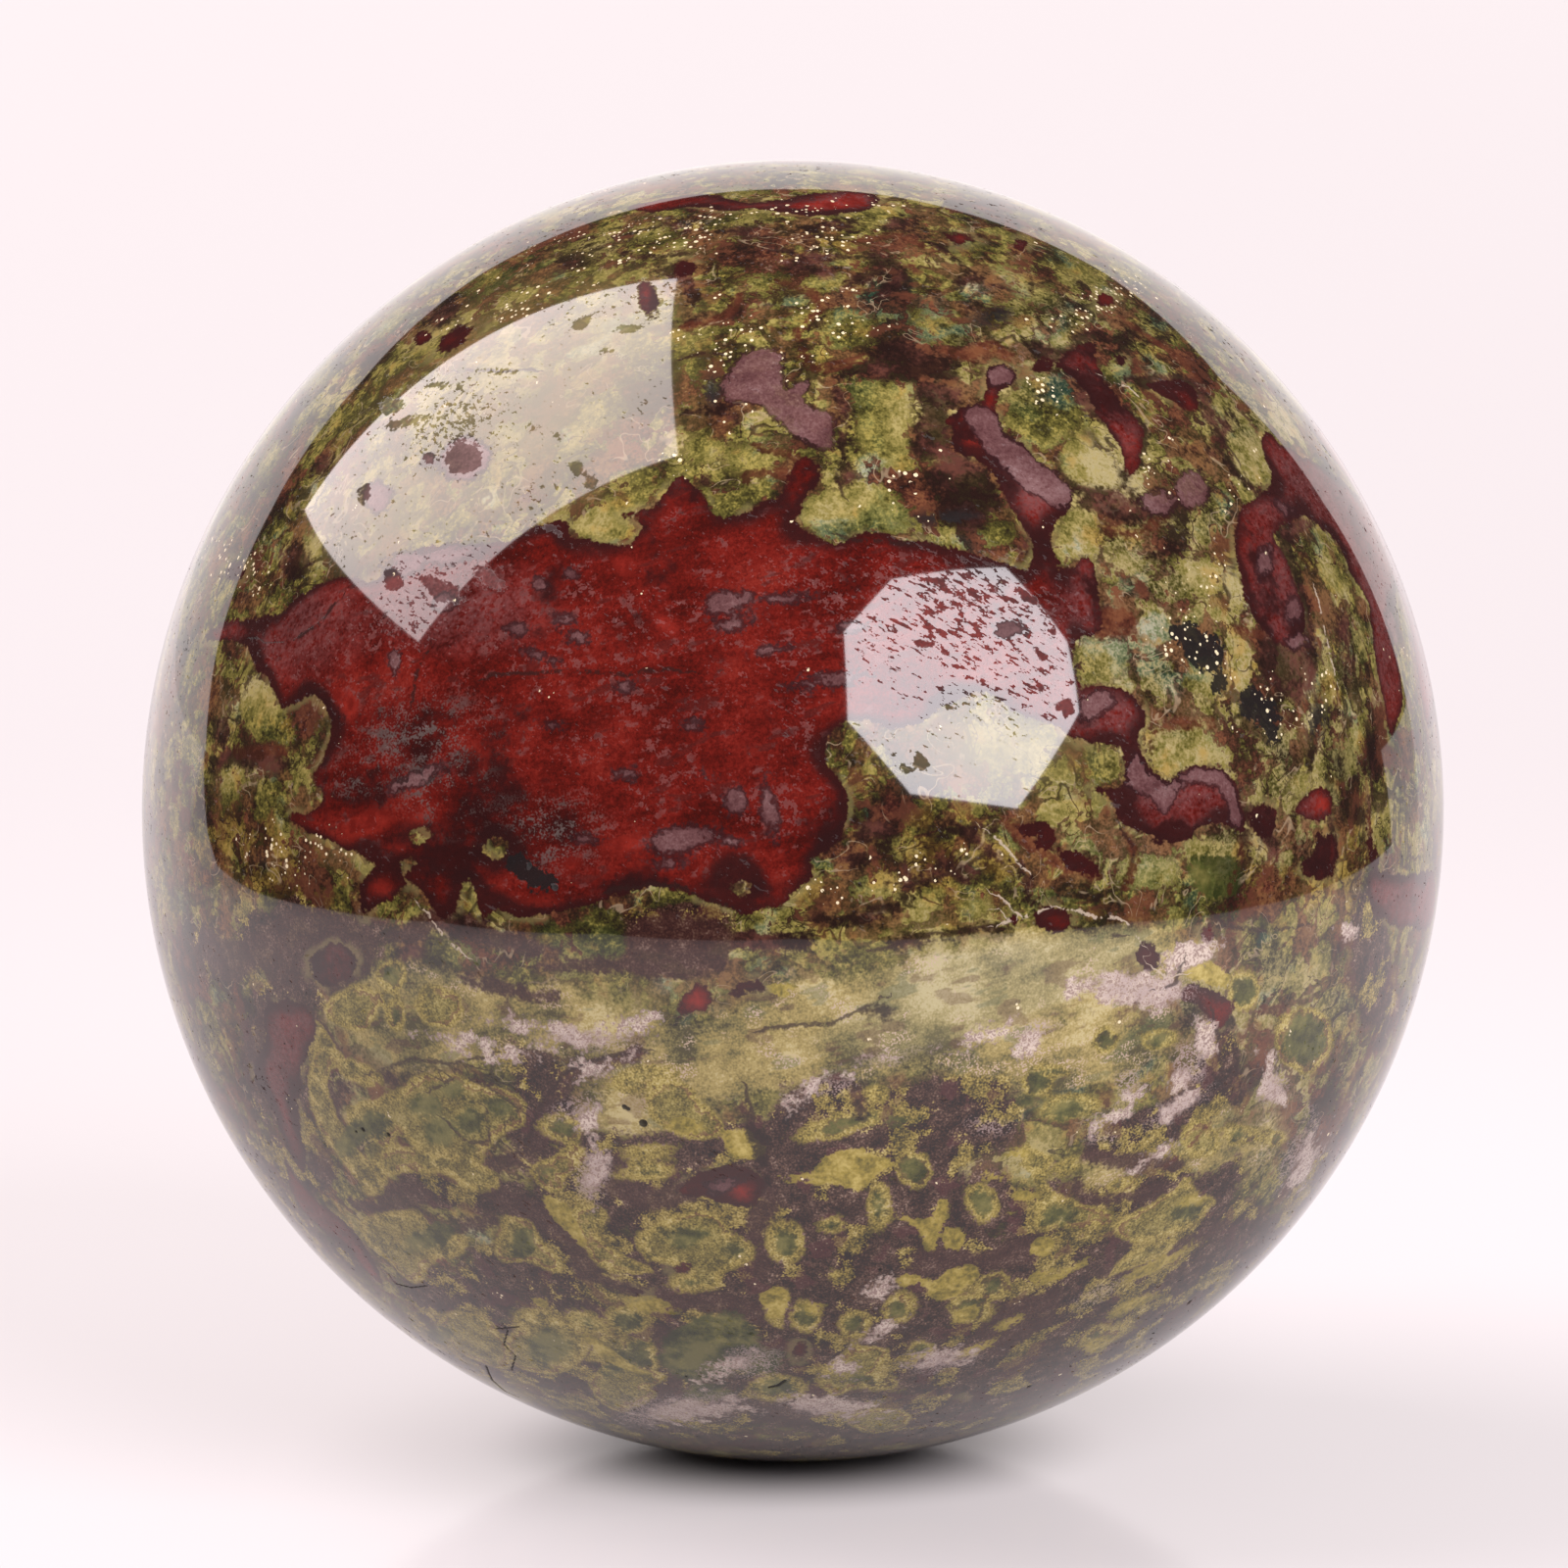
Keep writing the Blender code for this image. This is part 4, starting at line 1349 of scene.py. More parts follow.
white_vein_mm, white_vein_side = nearest_vein(WHITE_VEINS)
dark_vein_mm, dark_vein_side = nearest_vein(DARK_VEINS)

# %% [markdown]
# ## What kind of rock lies where
# Between the marks the rock itself changes: a network of olive cells above, a pale band with flow lines
# across the middle, and the speckled purple ground below. Soft ovals say how much of each kind there is at
# each place. Other ovals place the glints, the golden and teal tints and the dark cloud inside the red.

# %% Soft zones on the front
ZONES = {  # photo x and y, half width, half height, and the tilt in degrees where there is one
    "ground": [
        (900, 1350, 420, 170), (640, 1240, 90, 130), (560, 1150, 34, 90, 25), (900, 1150, 260, 50, 8),
        (330, 1330, 60, 60, 40), (250, 1230, 60, 60, 50), (560, 1440, 130, 70), (1180, 1290, 190, 90, 28),
        (1245, 1085, 30, 60, 10), (310, 1210, 30, 90, -30), (1180, 1145, 90, 26, 20),
        (470, 1215, 80, 26, -15), (290, 1060, 36, 80), (690, 950, 60, 34), (290, 960, 90, 40, 5),
        (1400, 980, 22, 70), (480, 1320, 60, 34),
    ],
    "not ground": [
        (1090, 1110, 70, 45, 12), (700, 1120, 60, 34, 10), (1310, 1120, 60, 80, -20), (450, 1135, 90, 44),
    ],
    "flow": [
        (950, 1030, 210, 62, 12), (770, 1070, 170, 44, 10), (1120, 980, 90, 34, 5), (520, 1040, 170, 36, 2),
        (1080, 1080, 130, 40, 14), (660, 1130, 70, 36, 8), (420, 1040, 60, 50), (1190, 1200, 100, 60, 22),
    ],
    "pale": [(1020, 1000, 150, 44, 8), (960, 1040, 120, 30, 12), (1130, 965, 60, 22), (1340, 1050, 50, 60)],
    "yellow": [
        (800, 1050, 130, 40, 14), (620, 540, 50, 22, -15), (1120, 470, 44, 34), (1060, 430, 44, 34),
        (900, 440, 70, 50), (1220, 690, 60, 60, 40), (330, 870, 60, 30), (260, 720, 36, 70),
        (700, 1140, 60, 30), (1130, 560, 50, 36), (1280, 480, 26, 50, -30), (1230, 990, 40, 22),
        (590, 1030, 60, 20), (1350, 600, 20, 90, -12), (770, 505, 40, 16, 20), (870, 350, 50, 30),
        (1200, 770, 44, 26), (1330, 1060, 50, 50), (470, 430, 140, 80, 30),
    ],
    "teal": [
        (1165, 655, 44, 44, 20), (1105, 805, 14, 12), (1140, 815, 16, 22, -40), (940, 345, 50, 12, 15),
        (1080, 330, 60, 14, 30), (850, 535, 44, 12), (1160, 600, 22, 14, 30), (970, 310, 60, 16, 15),
        (900, 300, 50, 14, 15), (640, 560, 20, 8), (1270, 1010, 20, 18), (1080, 1120, 60, 26, 10),
        (560, 440, 26, 12), (800, 310, 40, 12, 10), (730, 1370, 60, 40), (1180, 330, 40, 10, 35),
        (1160, 375, 20, 18), (1090, 390, 14, 20), (630, 330, 30, 10, 10),
    ],
    "gold": [
        (960, 880, 110, 36, 8), (1290, 900, 60, 30), (285, 885, 50, 40), (1175, 790, 40, 14),
        (450, 920, 26, 16), (690, 1110, 22, 22), (1270, 690, 30, 60), (1380, 880, 26, 60),
        (230, 860, 30, 60), (1020, 350, 26, 12),
    ],
    "green": [
        (850, 900, 60, 30, 15), (1090, 890, 110, 44), (1240, 900, 80, 44), (900, 395, 40, 26),
        (400, 1000, 60, 30), (590, 965, 50, 26), (540, 280, 60, 16, 20), (1130, 300, 80, 20, 30),
        (780, 450, 40, 14), (470, 1020, 60, 40),
    ],
    "glint": [
        (760, 365, 60, 60), (700, 235, 80, 22, 5), (640, 250, 90, 20, 10), (800, 220, 120, 16, 5),
        (925, 500, 60, 22, 20), (1225, 665, 30, 44, 35), (1285, 725, 34, 44, 40), (560, 300, 80, 18, 20),
        (860, 240, 60, 16, 10), (1180, 480, 30, 36), (1070, 400, 30, 26), (245, 580, 26, 40, 50),
        (300, 870, 60, 30), (1260, 500, 20, 40, -30), (930, 890, 90, 20, 10), (1345, 730, 20, 50),
        (1215, 620, 30, 50), (690, 470, 20, 30), (1130, 300, 60, 20, 30), (470, 320, 40, 14, 35),
        (830, 330, 60, 30), (1090, 325, 20, 12),
    ],
    "black": [(1015, 322, 24, 12, 10), (728, 400, 12, 18), (965, 530, 50, 8, 8), (1345, 735, 12, 28, -10)],
    "dusty": [
        (280, 640, 80, 44, 10), (262, 1100, 70, 150, -12), (1350, 500, 70, 70), (1400, 620, 44, 150, -10),
        (1310, 600, 40, 70), (1140, 730, 50, 50), (1200, 800, 70, 44), (1050, 480, 60, 80, -30),
        (850, 205, 90, 20), (1130, 400, 60, 70, -30), (1420, 920, 40, 50), (1290, 850, 120, 40),
        (330, 960, 60, 50), (470, 620, 70, 36), (1110, 610, 30, 50), (360, 1260, 60, 50),
        (1075, 940, 30, 20),
    ],
    "wisp": [(430, 750, 60, 34, 0), (450, 800, 40, 40, 0), (560, 850, 50, 34, 0), (370, 790, 30, 20, 0)],
    "calm": [(530, 420, 150, 90, 30), (620, 340, 80, 50, 10), (400, 520, 70, 50, 30), (1010, 760, 80, 40)],
    "light": [
        (1170, 590, 70, 110), (1290, 710, 90, 110), (1290, 830, 100, 60), (1180, 720, 60, 60),
        (1290, 1070, 80, 80), (1060, 350, 90, 40, 20), (1290, 430, 40, 60, -30), (590, 1180, 60, 20),
        (1170, 860, 80, 30), (1250, 1010, 70, 50), (1050, 1030, 120, 60, 10), (340, 1100, 40, 60),
    ],
    "cloud": [
        (490, 800, 66, 60), (530, 858, 56, 40), (430, 745, 50, 26), (380, 800, 30, 26), (470, 880, 40, 24),
        (1120, 400, 50, 60, -30), (980, 440, 26, 40), (1060, 560, 16, 20), (1120, 610, 16, 40),
        (1330, 640, 20, 40), (840, 490, 20, 40), (1200, 850, 40, 14), (1290, 850, 20, 24),
        (1340, 870, 24, 30), (340, 985, 30, 26), (850, 860, 26, 40), (1290, 600, 20, 50, -8),
        (690, 905, 90, 14), (320, 740, 26, 40), (700, 500, 26, 18),
    ],
    "pink": [
        (480, 620, 180, 60, -5), (330, 650, 90, 50), (800, 620, 130, 40, 8), (960, 570, 90, 20, 8),
        (1350, 500, 50, 50), (1400, 600, 30, 90, -12), (430, 800, 44, 26), (790, 800, 40, 60),
        (640, 760, 60, 60), (690, 860, 60, 26),
    ],
    "moss": [
        (1065, 1190, 30, 24, -20), (1085, 1235, 40, 22, 10), (1140, 1250, 44, 24, 20),
        (1190, 1240, 50, 28, 25), (1230, 1160, 40, 40, 30), (1170, 1190, 30, 14, 10),
        (690, 1150, 60, 24, 10), (585, 1200, 40, 50, 30), (620, 1270, 40, 26), (540, 1400, 50, 30),
        (450, 1350, 50, 40), (760, 1170, 24, 14), (700, 1265, 70, 40), (650, 1350, 60, 40),
        (1150, 1320, 70, 16, 28), (1290, 1180, 40, 50, 40), (960, 1115, 70, 30, 10),
        (880, 1125, 40, 16, 15), (380, 1150, 70, 50, -30), (480, 1200, 40, 26), (330, 1130, 30, 70, -20),
        (860, 1400, 40, 16), (1060, 1365, 30, 8, 25),
    ],
    "steep": [(1380, 720, 70, 230, -6), (1340, 900, 90, 130, 0), (1290, 980, 60, 80, 0)],
    "fleck": [
        (975, 638, 118, 66, -12), (1050, 690, 50, 60, -40), (440, 600, 80, 40, 30), (470, 430, 90, 40, 20),
        (640, 310, 70, 20, 15),
    ],
}
zones = {name: spots_together(spots) for name, spots in ZONES.items()}
zones["ground"] *= 1 - 0.85 * zones.pop("not ground")
BLACK_OUTLINES = {
    "hole in the red": [
        (518, 874), (532, 868), (545, 880), (560, 886), (572, 900), (562, 910), (546, 906), (534, 896),
        (520, 888),
    ],
    "upper nest": [
        (1196, 640), (1208, 634), (1222, 640), (1228, 648), (1240, 652), (1246, 668), (1243, 680),
        (1251, 692), (1247, 706), (1236, 700), (1238, 688), (1226, 684), (1216, 672), (1210, 660),
        (1200, 655),
    ],
    "lower nest": [
        (1264, 716), (1274, 704), (1288, 702), (1292, 714), (1301, 722), (1308, 738), (1302, 742),
        (1306, 756), (1296, 758), (1292, 746), (1281, 742), (1276, 732), (1266, 728),
    ],
}
black_mm = nearest_of(BLACK_OUTLINES.values())
print(len(zones), "soft zones")

# %% [markdown]
# ## The sides the photo doesn't show
# Behind and on top the same kinds of mark go on, but their places are made up by noise. Each noise is
# turned into a rough distance in millimetres, so the same shader draws the made-up marks and the observed
# ones alike. Where the photo shows the stone, the made-up ones are pushed away.

# %% Made-up marks behind
hidden = 1 - seen


def made_up(size_mm, threshold, seed, octaves=3):
    """Rough distance in mm to blobs of noise, far away where the photo shows the stone."""
    field = noise_field(wavering, size_mm, octaves, seed)
    return np.clip((threshold - field) * size_mm * 0.55 + 6 * seen, -REACH_MM, REACH_MM)


red_mm = np.minimum(red_mm, made_up(15, 0.34, 3))
mauve_mm = np.minimum(mauve_mm, np.maximum(made_up(5, 0.38, 4), red_mm + 0.15))
scarlet_mm = np.minimum(scarlet_mm, np.maximum(made_up(3.5, 0.55, 5), red_mm + 0.15))
dark_mm = np.minimum(dark_mm, made_up(6, 0.52, 6))
rimmed_mm = np.minimum(rimmed_mm, made_up(5, 0.42, 7))
core_mm = np.minimum(core_mm, rimmed_mm + 0.9 + 3 * seen)
leaf_mm = np.minimum(leaf_mm, made_up(3, 0.62, 8))
white_mm = np.minimum(white_mm, made_up(6, 0.66, 9))
cell_mm = np.minimum(cell_mm, made_up(3.2, 0.42, 21))
rust_mm = np.minimum(rust_mm, made_up(2.6, 0.62, 22))
purple_mm = np.minimum(purple_mm, made_up(7, 0.50, 23))
lavender_mm = np.minimum(lavender_mm, white_mm - 0.5 + 4 * seen)
height = spots_on_ball[:, 2]
behind_ground = np.clip(0.5 + 1.6 * noise_field(wavering, 24, 2, 10) - 1.4 * height, 0, 1)
behind_flow = np.clip(1.6 * noise_field(wavering, 20, 2, 11) - 0.1, 0, 1)
zones["ground"] = np.maximum(zones["ground"] * seen, behind_ground * hidden)
zones["flow"] = np.maximum(zones["flow"] * seen, behind_flow * hidden)
TINT_SEEDS = {
    "pale": 12, "yellow": 13, "teal": 14, "gold": 15, "green": 16, "glint": 17, "cloud": 18, "pink": 19,
    "moss": 20,
}
for name, seed in TINT_SEEDS.items():
    behind = np.clip(1.8 * noise_field(wavering, 9, 2, seed) - 0.15, 0, 1) * hidden
    zones[name] = np.maximum(zones[name], behind)
print("made-up marks on", round(float((hidden > 0.5).mean()), 2), "of the ball")

# %% [markdown]
# ## The stone's large noises
# A noise of two millimetres or more changes slowly enough for the mesh to store it, and reading a stored
# number costs the render far less than working out a noise. These say where the rock is light, where it
# breaks into brown, and where each tint gathers. The fields are stored three to an attribute, as the parts
# of a vector, because reading one vector is quicker than reading three numbers.

# %% Large noises
LARGE_NOISES = {  # size in mm, octaves, seed
    "broad": (3.2, 3, 31), "spread": (4.5, 2, 32), "blotch": (3.8, 3, 33),
    "tint_a": (2.2, 3, 34), "tint_b": (2.6, 3, 35), "tint_c": (1.9, 3, 36),
}


def evenly(field):
    """A noise brought to a mean of a half and an even spread."""
    return np.clip(0.5 + 0.115 * (field - field.mean()) / field.std(), 0, 1)


large = {name: evenly(noise_field(wavering, *settings)) for name, settings in LARGE_NOISES.items()}

# %% Store the fields on the mesh
FIELDS = {
    **large, **zones, "hollow_mm": hollow_mm, "black_mm": black_mm, "fleck_mm": fleck_mm, "red_mm": red_mm,
    "mauve_mm": mauve_mm, "scarlet_mm": scarlet_mm, "dark_mm": dark_mm, "rimmed_mm": rimmed_mm,
    "core_mm": core_mm, "leaf_mm": leaf_mm, "cell_mm": cell_mm, "rust_mm": rust_mm, "purple_mm": purple_mm,
    "white_mm": white_mm, "lavender_mm": lavender_mm, "white_vein_mm": white_vein_mm,
    "white_vein_side": white_vein_side, "dark_vein_mm": dark_vein_mm, "dark_vein_side": dark_vein_side,
}
field_names = list(FIELDS)
for first in range(0, len(field_names), 3):
    trio = [FIELDS[name] for name in field_names[first:first + 3]]
    trio += [np.zeros(len(stone_mesh.vertices))] * (3 - len(trio))
    attribute = stone_mesh.attributes.new(f"trio_{first // 3}", "FLOAT_VECTOR", "POINT")
    attribute.data.foreach_set("vector", np.stack(trio, axis=1).astype(np.float32).ravel())
print(len(FIELDS), "fields on", len(stone_mesh.vertices), "vertices, three to an attribute")

# %% [markdown]
# ## The stone's finish
# The material is one Principled shader. Its colour is painted in layers, the way the stone grew: rock
# first, then the red, then seams, crystals and glints. Each layer is a colour and a share, and a share
# comes from a stored distance plus some fine noise, so that the edges are crisp but never smooth.

# %% The material and short names for its parts
stone = bpy.data.materials.new("polished_jasper")
stone.use_nodes = True
tree = stone.node_tree
surface = tree.nodes["Principled BSDF"]


def plug(socket, value):
    """Feeds a socket from another node, or sets its value."""
    if isinstance(value, bpy.types.NodeSocket):
        tree.links.new(value, socket)
    elif isinstance(value, tuple) and len(value) == 3 and socket.type == "RGBA":
        socket.default_value = (*value, 1)
    else:
        socket.default_value = value


def maths(operation, first, second=0.0, third=0.0):
    """One step of arithmetic."""
    step = tree.nodes.new("ShaderNodeMath")
    step.operation = operation
    for socket, value in zip(step.inputs, (first, second, third)):
        plug(socket, value)
    return step.outputs[0]


def plus(value, amount, base):
    """A value times an amount, added to a base."""
    return maths("MULTIPLY_ADD", value, amount, base)


def rises(value, start, end, most=1.0):
    """A share that goes smoothly from 0 at start to its most at end. It falls where start is the larger."""
    step = tree.nodes.new("ShaderNodeMapRange")
    step.interpolation_type = "SMOOTHSTEP"
    plug(step.inputs["Value"], value)
    low, high, at_low, at_high = (start, end, 0.0, most) if start < end else (end, start, most, 0.0)
    plug(step.inputs["From Min"], low)
    plug(step.inputs["From Max"], high)
    plug(step.inputs["To Min"], at_low)
    plug(step.inputs["To Max"], at_high)
    return step.outputs[0]


def paint(under, over, share):
    """One colour laid over another."""
    step = tree.nodes.new("ShaderNodeMix")
    step.data_type = "RGBA"
    plug(step.inputs[0], share)
    plug(step.inputs[6], under)
    plug(step.inputs[7], over)
    return step.outputs[2]


def shades(value, *stops):
    """A colour that follows a value through several named places."""
    step = tree.nodes.new("ShaderNodeValToRGB")
    ramp = step.color_ramp
    while len(ramp.elements) < len(stops):
        ramp.elements.new(0.5)
    for element, (place, colour) in zip(ramp.elements, stops):
        element.position = place
        element.color = (*colour, 1)
    plug(step.inputs["Fac"], value)
    return step.outputs["Color"]


def both(first, second):
    """Two shares, where both hold."""
    return maths("MULTIPLY", first, second)


trio_parts = {}


def field(name):
    """A number stored on the mesh's vertices, as one part of an attribute that holds three."""
    trio, part = divmod(field_names.index(name), 3)
    if trio not in trio_parts:
        step = tree.nodes.new("ShaderNodeAttribute")
        step.attribute_name = f"trio_{trio}"
        parts = tree.nodes.new("ShaderNodeSeparateXYZ")
        tree.links.new(step.outputs["Vector"], parts.inputs[0])
        trio_parts[trio] = parts.outputs
    return trio_parts[trio][part]


# %% [markdown]
# ## Places, grain and flow
# Noise needs a place to read from. The stone's own coordinates in millimetres give marks of a true size on
# all sides. The flow lines of the pale band are the same noise read through stretched coordinates, tilted
# as the lines are, and the steep streaks at the right have a third set. The mesh already stores the large
# noises, so only the small ones are worked out here, and the two whose lines must stay crisp: the one that
# the seams follow, and the web of cells.

# %% Coordinates in millimetres, noise and cells
coordinates = tree.nodes.new("ShaderNodeTexCoord")


def place_mm(stretch=(1.0, 1.0, 1.0), turn=(0.0, 0.0, 0.0)):
    """The place on the stone in mm, turned by degrees and then stretched."""
    step = tree.nodes.new("ShaderNodeMapping")
    step.vector_type = "TEXTURE"
    plug(step.inputs["Vector"], coordinates.outputs["Object"])
    plug(step.inputs["Rotation"], tuple(math.radians(a) for a in turn))
    plug(step.inputs["Scale"], tuple(MM * s for s in stretch))
    return step.outputs[0]


def grain(size_mm, detail=3.0, roughness=0.55, swirl=0.0, where=None):
    """Fractal noise whose blobs are size_mm across, from 0 to 1."""
    step = tree.nodes.new("ShaderNodeTexNoise")
    plug(step.inputs["Vector"], where or even_place)
    plug(step.inputs["Scale"], 1 / size_mm)
    plug(step.inputs["Detail"], detail)
    plug(step.inputs["Roughness"], roughness)
    plug(step.inputs["Distortion"], swirl)
    return step.outputs["Fac"]


def mix(first, second, share):
    """A number between two others."""
    return plus(maths("SUBTRACT", second, first), share, first)


def swing(value, amount, base=0.0):
    """A noise turned into a push to both sides of zero, added to a base."""
    return plus(maths("SUBTRACT", value, 0.5), amount, base)


def web(size_mm, wander_mm):
    """The distance to the edge of the nearest random cell, in cell widths. The cells' edges wander."""
    push = tree.nodes.new("ShaderNodeVectorMath")
    push.operation = "MULTIPLY_ADD"
    apart = tree.nodes.new("ShaderNodeCombineXYZ")
    for socket, value in zip(apart.inputs, (middling, winding, smeared)):
        plug(socket, value)
    plug(push.inputs[0], apart.outputs[0])
    plug(push.inputs[1], (wander_mm, wander_mm, wander_mm))
    plug(push.inputs[2], even_place)
    step = tree.nodes.new("ShaderNodeTexVoronoi")
    step.feature = "DISTANCE_TO_EDGE"
    plug(step.inputs["Vector"], push.outputs[0])
    plug(step.inputs["Scale"], 1 / size_mm)
    return step.outputs["Distance"]


def near_value(value, middle, width):
    """A share that is 1 where a noise passes through one value: a line that winds like a contour on a map."""
    away = maths("ABSOLUTE", maths("SUBTRACT", value, middle))
    return rises(maths("DIVIDE", away, width), 1.0, 0.3)


even_place = place_mm()
flow_place = place_mm(stretch=(3.6, 2.0, 1.0), turn=(0.0, -14.0, 0.0))
steep_place = place_mm(stretch=(1.0, 2.0, 4.5), turn=(0.0, 12.0, 0.0))

grit = grain(0.11, 0.0, 0.5)
fine = grain(0.24, 1.0, 0.6)
middling = grain(0.9, 3.0, 0.62)
winding = grain(2.5, 2.0, 0.60, 0.9)
steep = grain(0.8, 2.0, 0.62, 0.0, steep_place)
smeared = grain(0.8, 2.0, 0.62, 0.0, flow_place)
ragged = swing(fine, 0.45, swing(middling, 0.9))
local = mix(middling, steep, field("steep"))


def distance(name, raggedness=1.0):
    """A stored distance in mm, with a ragged edge."""
    return plus(ragged, raggedness, field(name))


# %% [markdown]
# ## The olive network
# The upper rock is epidote and chlorite: cells of olive, moss and yellow green, one to four millimetres
# across, with paler hearts. Between them wind maroon to rust seams, ragged and of every width. A seam is
# drawn where a noise passes through one value, and a cream thread runs beside it, where the same noise
# passes through the next.

# %% Olive network
cell = distance("cell_mm", 1.9)
in_cell = rises(cell, 0.16, -0.16)
tone = swing(local, 0.80, swing(fine, 0.50, swing(grit, 0.20, swing(field("broad"), 0.85, 0.50))))
tone = plus(field("light"), 0.085, tone)
tone = plus(field("yellow"), 0.07, tone)
tone = plus(field("green"), -0.05, tone)
tone = plus(in_cell, 0.015, tone)
olive = shades(
    tone,
    (0.20, (0.016, 0.012, 0.006)),
    (0.34, (0.040, 0.035, 0.009)),
    (0.45, (0.090, 0.079, 0.018)),
    (0.56, (0.155, 0.132, 0.034)),
    (0.66, (0.215, 0.176, 0.052)),
    (0.82, (0.320, 0.270, 0.130)),
)
teal_share = rises(plus(field("teal"), 0.30, swing(middling, 0.6, field("tint_a"))), 0.62, 0.80, 0.75)
teal = shades(
    tone,
    (0.32, (0.012, 0.036, 0.024)),
    (0.60, (0.110, 0.145, 0.080)),
    (0.78, (0.300, 0.330, 0.260)),
)
olive = paint(olive, teal, teal_share)
green_share = rises(plus(field("green"), 0.20, swing(middling, 0.5, field("tint_b"))), 0.56, 0.72, 0.6)
olive = paint(olive, shades(tone, (0.32, (0.022, 0.030, 0.008)), (0.68, (0.140, 0.150, 0.046))), green_share)
lively = rises(swing(fine, 0.6, swing(grit, 0.3, middling)), 0.54, 0.66)
olive = paint(olive, (0.290, 0.235, 0.050), both(both(lively, rises(tone, 0.42, 0.56)), 0.45))
chalky = both(field("light"), rises(swing(fine, 0.7, swing(grit, 0.4, local)), 0.36, 0.66))
olive = paint(olive, (0.300, 0.240, 0.150), both(chalky, 0.36))
gold_share = rises(plus(field("gold"), 0.25, swing(middling, 0.8, field("tint_c"))), 0.58, 0.80, 0.65)
olive = paint(olive, shades(tone, (0.32, (0.056, 0.028, 0.007)), (0.72, (0.300, 0.190, 0.040))), gold_share)

# %% Seams of the network
outside_cells = maths("SUBTRACT", 1.0, in_cell)
seam_width = maths("MAXIMUM", swing(field("spread"), 0.34, 0.022), 0.0)
seam_share = near_value(swing(fine, 0.04, winding), 0.50, maths("MAXIMUM", seam_width, 0.004))
blotch_share = rises(swing(fine, 0.16, swing(middling, 0.55, field("blotch"))), 0.590, 0.640)
network_share = both(outside_cells, maths("SUBTRACT", 1.0, both(field("flow"), 0.9)))
web_width = maths("MAXIMUM", swing(field("tint_b"), 1.3, swing(fine, 0.20, 0.12)), 0.015)
web_share = rises(maths("DIVIDE", web(2.6, 3.0), web_width), 1.0, 0.45)
seam_share = maths("MAXIMUM", seam_share, web_share)
brown_share = both(maths("MAXIMUM", both(seam_share, 0.8), both(blotch_share, 0.95)), network_share)
brown = shades(
    swing(fine, 0.55, swing(grit, 0.25, swing(local, 0.9, field("tint_b")))),
    (0.36, (0.013, 0.006, 0.005)),
    (0.52, (0.032, 0.009, 0.007)),
    (0.64, (0.064, 0.018, 0.012)),
    (0.80, (0.130, 0.045, 0.022)),
)
network = paint(olive, brown, brown_share)
rust_here = rises(field("blotch"), 0.40, 0.55, 0.6)
rust_share = both(rises(swing(local, 0.8, field("tint_c")), 0.57, 0.68), rust_here)
network = paint(network, (0.085, 0.029, 0.016), both(rust_share, network_share))
cell_edge = both(rises(cell, 0.30, 0.10), rises(cell, -0.12, 0.04))
network = paint(network, (0.024, 0.012, 0.007), both(cell_edge, 0.45))
thread_share = both(near_value(winding, 0.565, 0.012), rises(field("tint_a"), 0.46, 0.56))
network = paint(network, (0.400, 0.300, 0.185), both(both(thread_share, network_share), 0.40))

# %% [markdown]
# ## The pale band
# Here the green is paler and smeared into soft flow lines that rise to the right, sprinkled with white and
# pink sugar.

# %% Pale band
network = paint(network, (0.170, 0.142, 0.050), both(field("calm"), 0.55))
flow_tone = swing(grit, 0.34, swing(fine, 0.40, swing(smeared, 0.70, field("broad"))))
flow_tone = plus(field("pale"), 0.05, flow_tone)
flow_tone = plus(field("light"), 0.07, flow_tone)
band = shades(
    flow_tone,
    (0.24, (0.050, 0.042, 0.014)),
    (0.38, (0.125, 0.105, 0.034)),
    (0.52, (0.225, 0.174, 0.054)),
    (0.66, (0.312, 0.245, 0.084)),
    (0.82, (0.420, 0.350, 0.165)),
)
veil = shades(
    flow_tone,
    (0.30, (0.130, 0.116, 0.048)),
    (0.55, (0.220, 0.200, 0.092)),
    (0.80, (0.340, 0.310, 0.180)),
)
band = paint(band, veil, rises(swing(smeared, 0.8, field("pale")), 0.30, 0.85, 0.5))
lens_share = rises(swing(smeared, 1.0, field("tint_b")), 0.64, 0.72)
band = paint(band, (0.055, 0.070, 0.026), both(lens_share, 0.5))
sugar_here = rises(swing(smeared, 0.9, field("tint_a")), 0.56, 0.74)
band = paint(band, (0.420, 0.310, 0.240), both(rises(grit, 0.52, 0.64), both(sugar_here, 0.8)))
dirt_share = rises(swing(smeared, -1.1, field("tint_c")), 0.62, 0.70)
band = paint(band, (0.085, 0.034, 0.026), both(dirt_share, 0.4))

# %% [markdown]
# ## The purple ground
# Fine dark maroon and brown grains with pinkish quartz between them, and clumps of yellow-green grains.
# From a step away the maroon part reads as purple.

# %% Purple ground
ground_grain = swing(grit, 0.60, swing(fine, 0.35, middling))
purple = shades(
    ground_grain,
    (0.26, (0.010, 0.006, 0.006)),
    (0.42, (0.026, 0.011, 0.008)),
    (0.55, (0.050, 0.024, 0.017)),
    (0.68, (0.098, 0.055, 0.038)),
    (0.84, (0.240, 0.168, 0.130)),
)
moss_place = swing(grit, 0.25, swing(middling, 0.7, swing(field("tint_a"), 1.5, 0.5)))
moss_place = plus(field("moss"), 0.20, moss_place)
moss = shades(
    ground_grain,
    (0.26, (0.024, 0.020, 0.008)),
    (0.42, (0.078, 0.061, 0.015)),
    (0.55, (0.180, 0.134, 0.027)),
    (0.70, (0.310, 0.240, 0.060)),
    (0.84, (0.420, 0.350, 0.140)),
)
bank = purple
purple = paint(purple, moss, rises(moss_place, 0.60, 0.68, 0.88))
wine_share = rises(swing(middling, 0.5, field("tint_c")), 0.60, 0.68)
